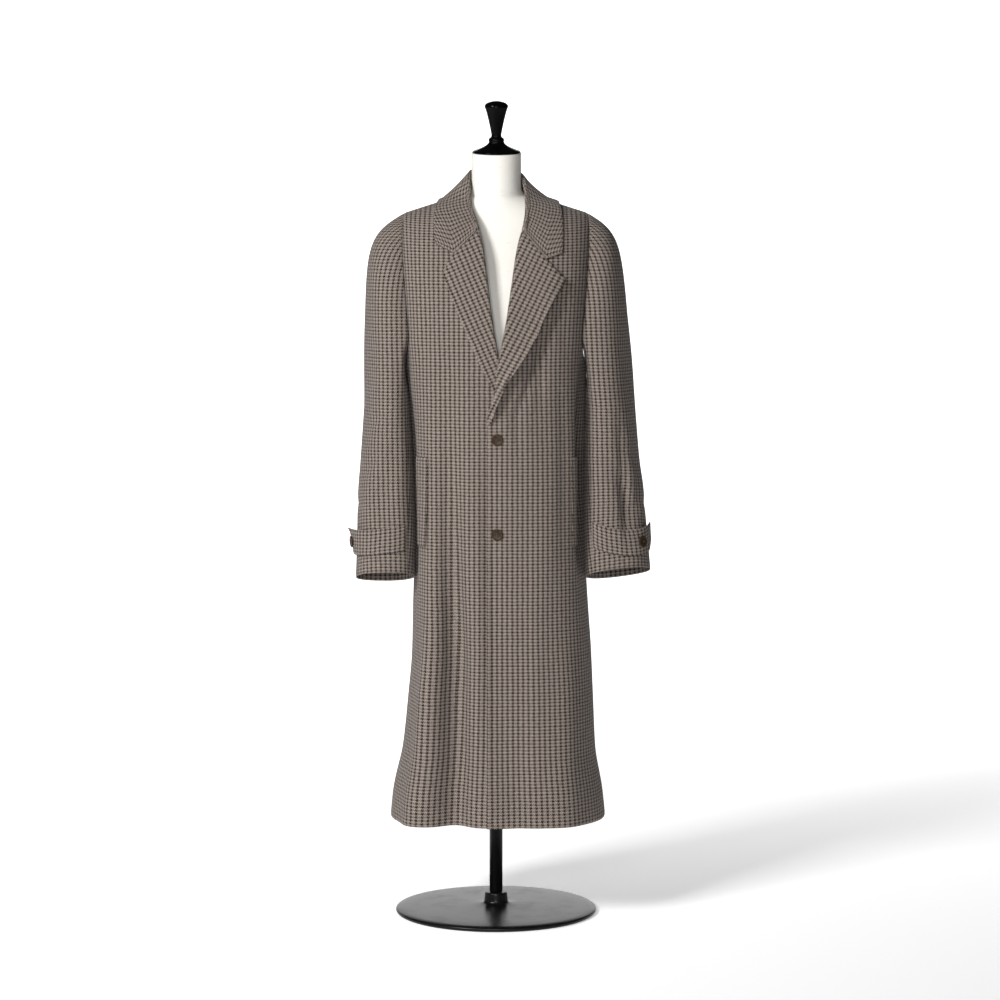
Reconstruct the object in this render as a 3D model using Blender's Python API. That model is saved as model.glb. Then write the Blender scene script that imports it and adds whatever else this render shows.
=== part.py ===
# A long tweed overcoat on a dress form, in metres.
# +X is the wearer's left, -Y the front and +Z up; the origin is under the middle of the stand.

import math
from collections import namedtuple
from functools import lru_cache

import bmesh
import bpy
import numpy as np
from mathutils import Vector
from mathutils.bvhtree import BVHTree

# Cloth and seams
CLOTH = 0.002                    # one ply of the coat's cloth
DOUBLED = 0.0026                 # two plies pressed flat: collar, lapels, straps and welts
SEAM = 0.0003                    # gap between pieces at a seam
RESTING = 0.0012                 # gap under a piece that lies on a panel

# Driving sizes of the coat
HEM = 0.192                      # height of the hem above the floor
UNDERARM = 1.045                 # lowest point of the armhole
CHEST = 1.10                     # front and back corners of the armhole
CORNER = math.radians(63)        # those corners, round the body from the centre line
SHOULDER_POINT = (0.171, 0.003, 1.336)
NECK_POINT = (0.066, 0.008, 1.370)
BACK_NECK = (0.0, 0.068, 1.376)
ARMHOLE_BOW = 0.008              # how far the armhole bows outwards half-way up
FRONT_ROUND = (2.0, 0.3)         # how square the climb to the shoulder is in the middle, and more outwards
BACK_ROUND = (2.1, 0.2)
UPPER_END = 1.05                 # columns from here on stay under the armhole
CAP_CORNER = math.radians(115)   # the armhole's corner, round the sleeve from its top
BICEP = 0.97                     # height where the sleeve head ends and the tube begins
BUTTON_RADIUS = 0.011
FRONT_BUTTON_OUT = 0.0025        # the front buttons, out from the centre line, and their heights
FRONT_BUTTONS = (("upper_front_button", 0.917), ("lower_front_button", 0.741))
STRAP_WIDTH = 0.047

RIGHT, LEFT = -1, 1

# The coat's rings: half widths on each side, depths to the front and back, and how square they are
BodyRing = namedtuple("BodyRing", "height right left front back squareness")
BODY = (
    BodyRing(HEM, 0.2015, 0.2085, 0.172, 0.178, 2.6),
    BodyRing(0.240, 0.1965, 0.2035, 0.169, 0.174, 2.6),
    BodyRing(0.325, 0.1780, 0.1895, 0.163, 0.168, 2.7),
    BodyRing(0.416, 0.1680, 0.1853, 0.158, 0.162, 2.8),
    BodyRing(0.510, 0.1600, 0.1810, 0.155, 0.156, 2.9),
    BodyRing(0.600, 0.1580, 0.1753, 0.153, 0.152, 3.0),
    BodyRing(0.720, 0.1550, 0.1710, 0.151, 0.148, 3.0),
    BodyRing(0.850, 0.1570, 0.1730, 0.150, 0.144, 3.0),
    BodyRing(0.970, 0.1630, 0.1720, 0.149, 0.141, 2.8),
    BodyRing(UNDERARM, 0.1700, 0.1720, 0.148, 0.139, 2.75),
    BodyRing(CHEST, 0.1760, 0.1740, 0.146, 0.137, 2.9),
)

# Where each front's edge runs, measured from the centre line towards its own side
FrontEdge = namedtuple("FrontEdge", "height right left")
FRONT_EDGE = (
    FrontEdge(HEM, -0.0240, -0.0166),
    FrontEdge(0.930, -0.0240, -0.0166),
    FrontEdge(0.965, -0.0188, -0.0100),
    FrontEdge(1.000, -0.0125, 0.0018),
    FrontEdge(1.060, -0.0020, 0.0090),
    FrontEdge(1.120, 0.0085, 0.0213),
    FrontEdge(1.193, 0.0185, 0.0325),
    FrontEdge(1.266, 0.0275, 0.0436),
    FrontEdge(1.315, 0.0385, 0.0560),
    FrontEdge(1.350, 0.0545, 0.0620),
    FrontEdge(NECK_POINT[2], NECK_POINT[0], NECK_POINT[0]),
)

# How far the left front stands off where it laps over the right one
Lap = namedtuple("Lap", "height lift")
LAP = (Lap(HEM, 0.0045), Lap(0.850, 0.0045), Lap(0.930, 0.0075), Lap(1.000, 0.0115),
       Lap(1.080, 0.0115), Lap(1.150, 0.0060), Lap(1.250, 0.0))
LAP_FULL, LAP_END = 0.020, 0.095

# Soft folds of the skirt: where each begins, is deepest and fades out, and the way round the body
Fold = namedtuple("Fold", "side start full end start_angle full_angle depth spread")
FOLDS = (
    Fold(RIGHT, 1.08, 0.20, -1.0, 25, 17, -0.031, 9),
    Fold(RIGHT, 0.85, 0.20, -1.0, 43, 44, 0.017, 12),
    Fold(RIGHT, 1.09, 0.80, 0.40, 77, 76, -0.010, 7),
    Fold(RIGHT, 0.78, 0.20, -1.0, -10, -7, -0.009, 6),
    Fold(RIGHT, 0.75, 0.20, -1.0, 112, 116, -0.012, 10),
    Fold(RIGHT, 0.70, 0.20, -1.0, 136, 138, 0.012, 11),
    Fold(RIGHT, 0.85, 0.20, -1.0, 158, 161, -0.012, 9),
    Fold(LEFT, 0.78, 0.20, -1.0, 10, 7, -0.009, 6),
    Fold(LEFT, 0.60, 0.20, -1.0, 32, 34, 0.008, 12),
    Fold(LEFT, 1.12, 0.86, 0.53, 71, 72, -0.031, 12),
    Fold(LEFT, 0.70, 0.20, -1.0, 114, 119, -0.011, 10),
    Fold(LEFT, 0.75, 0.20, -1.0, 140, 143, 0.013, 12),
    Fold(LEFT, 0.60, 0.20, -1.0, 164, 166, -0.008, 8),
)

# The hanging sleeves: how far each ring lies out from the centre line, its front and back, and how far
# it rises towards the front (tilt) and, on each side, outwards (rise)
SleeveRing = namedtuple("SleeveRing", "height right_in right_out left_in left_out front back tilt"
                        " right_rise left_rise")
SLEEVES = (
    SleeveRing(0.650, 0.1545, 0.2645, 0.1692, 0.2915, -0.098, 0.008, 0.26, 0.01, 0.13),
    SleeveRing(0.720, 0.1545, 0.2620, 0.1680, 0.2855, -0.096, 0.025, 0.20, 0.0, 0.09),
    SleeveRing(0.795, 0.1565, 0.2608, 0.1692, 0.2780, -0.094, 0.042, 0.13, 0.0, 0.03),
    SleeveRing(0.870, 0.1592, 0.2553, 0.1704, 0.2705, -0.091, 0.060, 0.06, 0.0, 0.0),
    SleeveRing(BICEP, 0.1658, 0.2480, 0.1738, 0.2620, -0.087, 0.076, 0.0, 0.0, 0.0),
)
SLEEVE_SQUARENESS = 2.3
SLEEVE_TURN = 0.16               # the tube's front hangs turned towards the body

# The sleeve heads: how full each is over the shoulder, and how far it leans in on its way up
Head = namedtuple("Head", "fullness lean")
HEAD = {RIGHT: Head(0.088, 0.016), LEFT: Head(0.080, 0.095)}
HEAD_EASE = 0.012                # fullness left at the underarm
HEAD_CLIMB = (0.035, 0.27)       # how far the tube's direction carries up: under the arm, and more on top
HEAD_POWER, CLIMB_POWER = 1.5, 1.6   # how far fullness and climb gather towards the top
LEAVE_OUT, LEAVE_FORWARD, LEAVE_DOWN = (0.52, 0.35), 0.40, (0.85, 0.35)   # how the head leaves the armhole
LEAST_SLANT = 0.3                # keeps the gap at the armhole from growing where the two walls run alike

# Folds of the sleeves, with angles from the outer line towards the front
SLEEVE_FOLDS = (
    Fold(LEFT, 0.93, 0.77, 0.69, 100, 55, -0.009, 17),
    Fold(LEFT, 0.90, 0.82, 0.72, 20, 10, 0.004, 22),
    Fold(RIGHT, 0.95, 0.80, 0.68, 95, 78, -0.006, 18),
    Fold(RIGHT, 0.90, 0.78, 0.66, 275, 262, -0.007, 20),
    Fold(LEFT, 0.92, 0.80, 0.66, 270, 258, -0.007, 20),
)

# Outer edge of each lapel, from its break up to its point, out from the centre line
LapelEdge = namedtuple("LapelEdge", "height out")
LAPEL_EDGE = {
    RIGHT: (LapelEdge(0.985, -0.0080), LapelEdge(1.0129, 0.0053), LapelEdge(1.0534, 0.0275),
            LapelEdge(1.136, 0.0626), LapelEdge(1.2245, 0.0979)),
    LEFT: (LapelEdge(0.945, -0.0090), LapelEdge(0.9725, -0.0030), LapelEdge(0.9967, 0.0072),
           LapelEdge(1.0227, 0.0196), LapelEdge(1.0506, 0.0370), LapelEdge(1.0919, 0.0618),
           LapelEdge(1.1753, 0.1038), LapelEdge(1.2110, 0.1250)),
}
LAPEL_STAND = {RIGHT: 0.0050, LEFT: 0.0065}   # height of the lapel's face over the front at its edge
LAPEL_BELLY = {RIGHT: 0.002, LEFT: 0.010}   # how much further the outer edges roll away from the fronts
BELLY_FULL, BELLY_TIP, TIP_BELLY = 0.15, 0.80, 0.5   # where along a lapel, and the share left at its tip
ROLL_STAND = 0.0072                           # and along its roll
BREAK_STAND = 0.0046                          # and at the break, where the roll begins
BREAK_SHARE = 0.3                             # how far up the roll is fully open

# Where collar and lapel meet: the gorge at the roll, the notch, and the collar's corner
Notch = namedtuple("Notch", "gorge_height notch_out notch_height corner_out corner_height")
NOTCH = {
    RIGHT: Notch(1.300, 0.0777, 1.2580, 0.1110, 1.2770),
    LEFT: Notch(1.2985, 0.0920, 1.2490, 0.1220, 1.2600),
}
NOTCH_SHARE = 0.6                             # the notch's place across the lapel and the collar

# The collar from the centre back to the gorge: its fold line and the outer edge of its fall
CollarStation = namedtuple("CollarStation", "fold_out fold_y fold_z edge_out edge_y edge_z")
COLLAR_BACK = CollarStation(0.0, 0.060, 1.425, 0.0, 0.118, 1.352)
COLLAR = {
    RIGHT: (CollarStation(0.0300, 0.049, 1.422, 0.0580, 0.100, 1.354),
            CollarStation(0.0495, 0.018, 1.415, 0.0980, 0.050, 1.356),
            CollarStation(0.0515, -0.012, 1.402, 0.1065, -0.004, 1.359),
            CollarStation(0.0465, -0.048, 1.360, 0.1135, -0.045, 1.336),
            CollarStation(0.0385, -0.076, 1.326, 0.1145, -0.070, 1.312)),
    LEFT: (CollarStation(0.0310, 0.049, 1.419, 0.0560, 0.100, 1.352),
           CollarStation(0.0500, 0.018, 1.409, 0.0960, 0.050, 1.353),
           CollarStation(0.0535, -0.012, 1.398, 0.1150, -0.004, 1.355),
           CollarStation(0.0560, -0.048, 1.360, 0.1205, -0.045, 1.334),
           CollarStation(0.0530, -0.076, 1.322, 0.1215, -0.072, 1.303)),
}

# The dress form's rings; a higher peak leaves a ring full in the middle and thin at the shoulders
FormRing = namedtuple("FormRing", "height half front back peak")
FORM = (
    FormRing(0.655, 0.118, 0.080, 0.092, 1.0),
    FormRing(0.664, 0.133, 0.092, 0.104, 1.0),
    FormRing(0.700, 0.142, 0.100, 0.113, 1.0),
    FormRing(0.770, 0.143, 0.102, 0.114, 1.0),
    FormRing(0.860, 0.126, 0.095, 0.098, 1.0),
    FormRing(0.940, 0.112, 0.091, 0.090, 1.0),
    FormRing(1.030, 0.122, 0.120, 0.095, 1.0),
    FormRing(1.110, 0.135, 0.126, 0.102, 1.0),
    FormRing(1.190, 0.143, 0.112, 0.106, 1.0),
    FormRing(1.260, 0.150, 0.087, 0.099, 1.1),
    FormRing(1.305, 0.156, 0.071, 0.084, 1.3),
    FormRing(1.326, 0.156, 0.063, 0.073, 1.6),
    FormRing(1.342, 0.131, 0.0565, 0.064, 2.0),
    FormRing(1.3568, 0.0948, 0.0505, 0.056, 2.3),
    FormRing(1.3670, 0.0560, 0.0480, 0.051, 1.6),
    FormRing(1.380, 0.0475, 0.0462, 0.048, 1.0),
    FormRing(1.410, 0.0465, 0.0455, 0.0465, 1.0),
    FormRing(1.4475, 0.0465, 0.0465, 0.0465, 1.0),
)
FORM_SHIFT = 0.0008              # the form's middle, a little to the wearer's left
FORM_SIDES = 28
NECK_LEAN = math.radians(7)      # the neck's top falls towards the front
LEAN_FROM, LEAN_FULL = 1.36, 1.43

# Turned profiles, radius by height: the finial above the neck and the foot of the stand
Turn = namedtuple("Turn", "radius height")
FINIAL = (
    Turn(0.0, 0.0), Turn(0.0452, 0.0), Turn(0.0462, 0.0012), Turn(0.0455, 0.0036),
    Turn(0.0345, 0.0074), Turn(0.0220, 0.0124), Turn(0.0148, 0.0180), Turn(0.0140, 0.0212),
    Turn(0.0150, 0.0240), Turn(0.0143, 0.0272), Turn(0.0096, 0.0300), Turn(0.0094, 0.0350),
    Turn(0.0130, 0.0530), Turn(0.0185, 0.0760), Turn(0.0212, 0.0835), Turn(0.0228, 0.0868),
    Turn(0.0222, 0.0905), Turn(0.0170, 0.0945), Turn(0.0090, 0.0968), Turn(0.0, 0.0975),
)
FOOT = (
    Turn(0.0, 0.0), Turn(0.190, 0.0), Turn(0.1925, 0.0025), Turn(0.1925, 0.0075),
    Turn(0.190, 0.0100), Turn(0.120, 0.0125), Turn(0.040, 0.0145), Turn(0.0240, 0.0165),
    Turn(0.0220, 0.0200), Turn(0.0215, 0.0360), Turn(0.0200, 0.0375), Turn(0.0, 0.0375),
)
POLE_RADIUS = 0.0125

# Mesh density
LOW_ROWS, UP_ROWS = 16, 8
FRONT_COLUMNS, FRONT_SIDE_COLUMNS = 11, 4
BACK_COLUMNS, BACK_SIDE_COLUMNS = 7, 3
SLEEVE_CAP_ROWS, SLEEVE_TUBE_ROWS = 6, 8
TURNED_SIDES, FOOT_SIDES = 24, 40
SHARP_FROM = math.radians(40)    # edges that bend more than this show as corners


def material(name, colour, roughness):
    """A plain Principled finish; the colour is linear RGB."""
    made = bpy.data.materials.new(name)
    made.use_nodes = True
    shader = made.node_tree.nodes["Principled BSDF"]
    shader.inputs["Base Color"].default_value = (*colour, 1.0)
    shader.inputs["Roughness"].default_value = roughness
    made.diffuse_color = (*colour, 1.0)
    return made


def signed_power(value, exponent):
    return math.copysign(abs(value) ** exponent, value)


def ease(value):
    """Smooth step from 0 to 1."""
    value = min(max(value, 0.0), 1.0)
    return value * value * (3 - 2 * value)


def unit(vector):
    return vector / np.linalg.norm(vector)


def smooth(keys, values, at):
    """A value between table rows, on a curve that never overshoots them."""
    at = min(max(at, keys[0]), keys[-1])
    place = min(int(np.searchsorted(keys, at, "right")) - 1, len(keys) - 2)
    steps = [b - a for a, b in zip(keys, keys[1:])]
    rises = [(b - a) / step for a, b, step in zip(values, values[1:], steps)]

    def slope(row):
        if row in (0, len(keys) - 1):
            return rises[min(row, len(rises) - 1)]
        before, after = rises[row - 1], rises[row]
        return 0.0 if before * after <= 0 else 2 * before * after / (before + after)

    step = steps[place]
    share = (at - keys[place]) / step
    rest = 1 - share
    low, high = rest * rest * (1 + 2 * share), share * share * (1 + 2 * rest)
    bend = step * share * rest * (slope(place) * rest - slope(place + 1) * share)
    return values[place] * low + values[place + 1] * high + bend


def column_at(rows, column, at):
    """One of a table's columns, at a value of its first column."""
    return smooth([row[0] for row in rows], [getattr(row, column) for row in rows], at)


@lru_cache(maxsize=None)
def body_ring(side, height):
    half = column_at(BODY, "left" if side == LEFT else "right", height)
    depths = [column_at(BODY, name, height) for name in ("front", "back", "squareness")]
    return (half, *depths)


@lru_cache(maxsize=None)
def front_edge(side, height):
    return column_at(FRONT_EDGE, "left" if side == LEFT else "right", height)


def fold_depth(folds, side, angle, height):
    """How far the folds push the cloth out at an angle and a height."""
    total = 0.0
    for fold in folds:
        if fold.side != side:
            continue
        share = ease((fold.start - height) / (fold.start - fold.full))
        fade = ease((height - fold.end) / (fold.full - fold.end)) if height < fold.full else 1.0
        middle = fold.start_angle + (fold.full_angle - fold.start_angle) * share
        away = (math.degrees(angle) - middle + 180) % 360 - 180
        total += fold.depth * share * fade * math.exp(-(away / fold.spread) ** 2)
    return total


def ring_point(side, angle, height):
    """A point of the coat's outside, by its angle from the centre front round to the centre back."""
    half, front, back, squareness = body_ring(side, height)
    across = signed_power(math.sin(angle), 2 / squareness)
    along = signed_power(math.cos(angle), 2 / squareness)
    depth = front if along >= 0 else back
    out = unit(np.array([signed_power(across, squareness - 1) / half,
                         -signed_power(along, squareness - 1) / depth]))
    push = fold_depth(FOLDS, side, angle, height)
    x = half * across + push * out[0]
    y = -depth * along + push * out[1]
    return np.array([side * x, y, height])


def lap_lift(side, out, height):
    """How far the lapped left front stands in front of the ring."""
    if side == RIGHT:
        return 0.0
    fade = 1 - ease((out - LAP_FULL) / (LAP_END - LAP_FULL))
    return column_at(LAP, "lift", height) * fade


def armhole_height(column):
    """Top of the body's lower rows: level to the armhole's corner, then down to the underarm."""
    below = min(max(column - 1, 0.0), 1.0)
    return UNDERARM + (CHEST - UNDERARM) * (1 - math.sin(below * math.pi / 2))


def seam_angle(side, height, depth_name):
    """The angle of a side seam's edge, half a seam gap short of the side."""
    _, front, back, squareness = body_ring(side, height)
    depth = front if depth_name == "front" else back
    return math.acos((SEAM / 2 / depth) ** (squareness / 2))


def front_low(side, column, height):
    half, _, _, squareness = body_ring(side, height)
    edge = front_edge(side, height)
    corner = half * math.sin(CORNER) ** (2 / squareness)
    if column <= 1:
        out = edge + (corner - edge) * column
        angle = math.copysign(math.asin(min(abs(out) / half, 1) ** (squareness / 2)), out)
    else:
        out = LAP_END
        angle = CORNER + (seam_angle(side, height, "front") - CORNER) * (column - 1)
    point = ring_point(side, angle, height)
    point[1] -= lap_lift(side, out, height)
    return point


def shoulder_seam(share):
    """The shoulder seam from the neck point to the shoulder point."""
    return np.array(NECK_POINT) + (np.array(SHOULDER_POINT) - np.array(NECK_POINT)) * share


def front_up(side, column, climb):
    """The front above the chest, climbing from the chest line to the shoulder seam."""
    turn = climb * math.pi / 2
    exponent = 2 / (FRONT_ROUND[0] + FRONT_ROUND[1] * column)
    low = front_low(side, min(column, 1.0), CHEST)
    low[1] += lap_lift(side, side * low[0], CHEST)
    top = shoulder_seam(column)
    top[1] -= SEAM / 2
    y = top[1] + (low[1] - top[1]) * signed_power(math.cos(turn), exponent)
    z = low[2] + (top[2] - low[2]) * signed_power(math.sin(turn), exponent)
    edge_z = CHEST + (NECK_POINT[2] - CHEST) * math.sin(turn)
    edge = front_edge(side, edge_z)
    half, _, _, squareness = body_ring(side, CHEST)
    corner = half * math.sin(CORNER) ** (2 / squareness)
    armhole = corner + (SHOULDER_POINT[0] - corner) * climb + ARMHOLE_BOW * math.sin(math.pi * climb)
    out = edge + (armhole - edge) * column
    return np.array([side * out, y - lap_lift(side, out, z), z])


def front_at(side, column, rise):
    """The front: rise runs 0 to 1 from the hem to the chest line, and 1 to 2 up to the shoulder."""
    if rise > 1 and column < UPPER_END:
        return front_up(side, column, rise - 1)
    top = armhole_height(column)
    return front_low(side, column, HEM + (top - HEM) * rise)


NECK_SHARE = NECK_POINT[0] / SHOULDER_POINT[0]


def back_low(side, column, height):
    half, _, _, squareness = body_ring(side, height)
    corner = half * math.sin(CORNER) ** (2 / squareness)
    if column <= 1:
        out = SEAM / 2 + (corner - SEAM / 2) * column
        angle = math.copysign(math.asin((abs(out) / half) ** (squareness / 2)), out)
    else:
        angle = CORNER + (seam_angle(side, height, "back") - CORNER) * (column - 1)
    return ring_point(side, math.pi - angle, height)


def back_top(column):
    """The back's top edge: the back neck, then the shoulder seam."""
    if column >= NECK_SHARE:
        point = shoulder_seam((column - NECK_SHARE) / (1 - NECK_SHARE))
        point[1] += SEAM / 2
        return point
    turn = column / NECK_SHARE * math.pi / 2
    return np.array([NECK_POINT[0] * math.sin(turn) + SEAM / 2 * math.cos(turn),
                     NECK_POINT[1] + SEAM / 2 + (BACK_NECK[1] - NECK_POINT[1]) * math.cos(turn),
                     NECK_POINT[2] + (BACK_NECK[2] - NECK_POINT[2]) * math.cos(turn)])


def back_up(side, column, climb):
    turn = climb * math.pi / 2
    exponent = 2 / (BACK_ROUND[0] + BACK_ROUND[1] * column)
    low = back_low(side, min(column, 1.0), CHEST)
    top = back_top(column)
    y = top[1] + (low[1] - top[1]) * signed_power(math.cos(turn), exponent)
    z = low[2] + (top[2] - low[2]) * signed_power(math.sin(turn), exponent)
    out = side * low[0]
    out += (top[0] - out) * climb + ARMHOLE_BOW * column * column * math.sin(math.pi * climb)
    return np.array([side * out, y, z])


def back_at(side, column, rise):
    """The back: columns run from the centre seam to the side, rise as on the front."""
    if rise > 1 and column < UPPER_END:
        return back_up(side, column, rise - 1)
    top = armhole_height(column)
    return back_low(side, column, HEM + (top - HEM) * rise)


def panel_normal(surface, side, column, rise):
    """The outward direction of a front or back, from two short steps over its surface."""
    step = 0.004
    across = surface(side, column + step, rise) - surface(side, column - step, rise)
    upward = surface(side, column, rise + step) - surface(side, column, rise - step)
    facing = 1 if surface is front_at else -1
    return side * facing * unit(np.cross(across, upward))


def armhole_place(around):
    """The panel, column and rise of a point of the armhole, by its angle round the sleeve."""
    surface = front_at if around <= math.pi else back_at
    turn = around if around <= math.pi else 2 * math.pi - around
    if turn <= CAP_CORNER:
        return surface, 1.0, 2 - turn / CAP_CORNER
    return surface, 1 + (turn - CAP_CORNER) / (math.pi - CAP_CORNER), 1.0


def cap_start(side, around):
    """The way the sleeve head leaves the armhole."""
    top = (1 + math.cos(around)) / 2
    out, down = LEAVE_OUT[0] + LEAVE_OUT[1] * top, LEAVE_DOWN[0] - LEAVE_DOWN[1] * top
    return unit(np.array([side * out, -LEAVE_FORWARD * math.sin(around), -down]))


def armhole_rim(side, around):
    """The wall's direction at the armhole, shared by the body and the sleeve."""
    surface, column, rise = armhole_place(around)
    step = 0.02
    ahead = [surface_point(side, around + turn) for turn in (step, -step)]
    sleeve = unit(np.cross(ahead[0] - ahead[1], cap_start(side, around))) * side
    return unit(panel_normal(surface, side, column, rise) + sleeve)


def surface_point(side, around):
    surface, column, rise = armhole_place(around % (2 * math.pi))
    return surface(side, column, rise)


def sleeve_ring(side, around, height):
    """A point of the sleeve's tube, by its angle from the outer line towards the front."""
    names = ("left_in", "left_out", "left_rise") if side == LEFT else ("right_in", "right_out", "right_rise")
    inner, outer, rise = [column_at(SLEEVES, name, height) for name in names]
    front, back, tilt = [column_at(SLEEVES, name, height) for name in ("front", "back", "tilt")]
    across = signed_power(math.cos(around), 2 / SLEEVE_SQUARENESS)
    along = signed_power(math.sin(around), 2 / SLEEVE_SQUARENESS)
    push = fold_depth(SLEEVE_FOLDS, side, around % (2 * math.pi), height)
    half, deep = (outer - inner) / 2 + push, (back - front) / 2 + push
    y = -deep * along
    out = (inner + outer) / 2 + half * across + SLEEVE_TURN * y
    return np.array([side * out, (front + back) / 2 + y, height - tilt * y + rise * (out - inner)])


def sleeve_at(side, around, down):
    """The sleeve: down runs 0 to 1 over its head and 1 to 2 along its tube to the cuff."""
    cuff = SLEEVES[0].height
    if down >= 1:
        return sleeve_ring(side, around, BICEP + (cuff - BICEP) * (down - 1))
    start = cap_start(side, around)
    rim = armhole_rim(side, around)
    clear = SEAM / max(LEAST_SLANT, math.sqrt(max(0.0, 1 - float(start @ rim) ** 2)))
    top = (1 + math.cos(around)) / 2
    first = surface_point(side, around) + start * clear
    last = sleeve_ring(side, around, BICEP)
    handle = first + start * (HEAD_EASE + HEAD[side].fullness * top ** HEAD_POWER)
    climb = HEAD_CLIMB[0] + HEAD_CLIMB[1] * top ** CLIMB_POWER
    lower = last + climb * np.array([-side * HEAD[side].lean, 0.0, 1.0])
    rest = 1 - down
    upper_part = first * rest ** 3 + handle * 3 * rest * rest * down
    return upper_part + lower * 3 * rest * down * down + last * down ** 3


def sleeve_normal(side, around, down):
    if down == 0:
        return armhole_rim(side, around)
    step = 0.01
    across = sleeve_at(side, around + step, down) - sleeve_at(side, around - step, down)
    downward = sleeve_at(side, around, down + step) - sleeve_at(side, around, down - step)
    return side * unit(np.cross(across, downward))


class Sheet:
    """One side of a piece of cloth: points, the way each faces, and the quads between them."""

    def __init__(self):
        self.points, self.normals, self.quads = [], [], []
        self.edge = []

    def add(self, point, normal):
        self.points.append(np.array(point))
        self.normals.append(np.array(normal))
        return len(self.points) - 1

    def grid(self, points, normals):
        self.join([[self.add(p, n) for p, n in zip(*row)] for row in zip(points, normals)])

    def join(self, rows):
        for low, high in zip(rows, rows[1:]):
            for a, b, c, d in zip(low, low[1:], high[1:], high):
                self.quads.append((a, b, c, d))

    def tree(self):
        """A search tree of the sheet, its quads turned the way the cloth faces."""
        quads = []
        for quad in self.quads:
            a, b, c, d = [self.points[i] for i in quad]
            faces_out = np.cross(c - a, d - b) @ self.normals[quad[0]] > 0
            quads.append(quad if faces_out else quad[::-1])
        return BVHTree.FromPolygons([Vector(p) for p in self.points], quads)


def new_object(name, points, faces, finish):
    mesh = bpy.data.meshes.new(name)
    mesh.from_pydata([tuple(p) for p in points], [], faces)
    work = bmesh.new()
    work.from_mesh(mesh)
    bmesh.ops.triangulate(work, faces=work.faces)
    bmesh.ops.recalc_face_normals(work, faces=work.faces)
    work.to_mesh(mesh)
    work.free()
    mesh.shade_smooth()
    mesh.set_sharp_from_angle(angle=SHARP_FROM)
    made = bpy.data.objects.new(name, mesh)
    made.data.materials.append(finish)
    bpy.context.scene.collection.objects.link(made)
    return made


def cloth_wall(name, sheet, thickness, finish):
    """A closed wall: the sheet, the same sheet a thickness further in, and a rim between them."""
    count = len(sheet.points)
    inner = [p - n * thickness for p, n in zip(sheet.points, sheet.normals)]
    faces = list(sheet.quads) + [tuple(reversed([i + count for i in quad])) for quad in sheet.quads]
    edges = {}
    for quad in sheet.quads:
        for a, b in zip(quad, quad[1:] + quad[:1]):
            edges[(a, b)] = True
    for a, b in edges:
        if (b, a) not in edges:
            faces.append((b, a, a + count, b + count))
    return new_object(name, sheet.points + inner, faces, finish)


def panel_sheet(surface, side, columns, side_columns):
    """A front or a back: full rows below the chest line, and rows up to the armhole above it."""
    low_places = [i / columns for i in range(columns + 1)]
    if surface is back_at:
        neck = round(columns * NECK_SHARE)
        low_places = [NECK_SHARE * i / neck for i in range(neck)]
        rest = columns - neck
        low_places += [NECK_SHARE + (1 - NECK_SHARE) * i / rest for i in range(rest + 1)]
    side_places = [1 + (i + 1) / side_columns for i in range(side_columns)]
    sheet = Sheet()

    def place(column, rise):
        normal = panel_normal(surface, side, column, rise)
        if column == 1 and rise >= 1:
            around = (2 - rise) * CAP_CORNER
            normal = armhole_rim(side, around if surface is front_at else 2 * math.pi - around)
        elif column > 1 and rise == 1:
            around = CAP_CORNER + (math.pi - CAP_CORNER) * (column - 1)
            normal = armhole_rim(side, around if surface is front_at else 2 * math.pi - around)
        return sheet.add(surface(side, column, rise), normal)

    rows = [[place(c, r / LOW_ROWS) for c in low_places + side_places] for r in range(LOW_ROWS + 1)]
    upper = [rows[-1][:columns + 1]]
    upper += [[place(c, 1 + r / UP_ROWS) for c in low_places] for r in range(1, UP_ROWS + 1)]
    sheet.join(rows)
    sheet.join(upper)
    sheet.edge = [row[0] for row in rows + upper[1:]]
    return sheet


def sleeve_sheets(side):
    """The upper and the under sleeve, with columns at the points of the armhole."""
    under = math.pi - CAP_CORNER
    front = [CAP_CORNER * i / UP_ROWS for i in range(UP_ROWS)]
    front += [CAP_CORNER + under * i / FRONT_SIDE_COLUMNS for i in range(FRONT_SIDE_COLUMNS)]
    back = [2 * math.pi - CAP_CORNER * i / UP_ROWS for i in range(1, UP_ROWS)]
    back += [math.pi + under - under * i / BACK_SIDE_COLUMNS for i in range(BACK_SIDE_COLUMNS + 1)]
    turns = front + sorted(back)
    front_seam = turns.index(front[UP_ROWS + 1])
    back_seam = turns.index(2 * math.pi - CAP_CORNER)
    downs = [i / SLEEVE_CAP_ROWS for i in range(SLEEVE_CAP_ROWS)]
    downs += [1 + i / SLEEVE_TUBE_ROWS for i in range(SLEEVE_TUBE_ROWS + 1)]
    loop = turns + [2 * math.pi + turn for turn in turns]
    sheets = []
    for first, last in ((back_seam, front_seam + len(turns)), (front_seam, back_seam)):
        columns = loop[first:last + 1]
        sheet = Sheet()
        points, normals = [], []
        for down in downs:
            line = [sleeve_at(side, turn % (2 * math.pi), down) for turn in columns]
            facing = [sleeve_normal(side, turn % (2 * math.pi), down) for turn in columns]
            line[0] += unit(line[1] - line[0]) * SEAM / 2
            line[-1] += unit(line[-2] - line[-1]) * SEAM / 2
            points.append(line)
            normals.append(facing)
        sheet.grid(points, normals)
        sheets.append(sheet)
    return sheets


VIEW_FROM, NEAR_FROM = -1.0, -0.2   # in front of the coat: where a view starts, and a nearest point is sought


def on_panel(tree, out, side, height):
    """The point of a front at a place in the front view, and the way the cloth faces there."""
    place, normal, _, _ = tree.ray_cast(Vector((side * out, VIEW_FROM, height)), Vector((0.0, 1.0, 0.0)))
    if place is None:
        place, normal, _, _ = tree.find_nearest(Vector((side * out, NEAR_FROM, height)))
    normal = np.array(normal)
    return np.array(place), normal * (-1 if normal[1] > 0 else 1)


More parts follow.
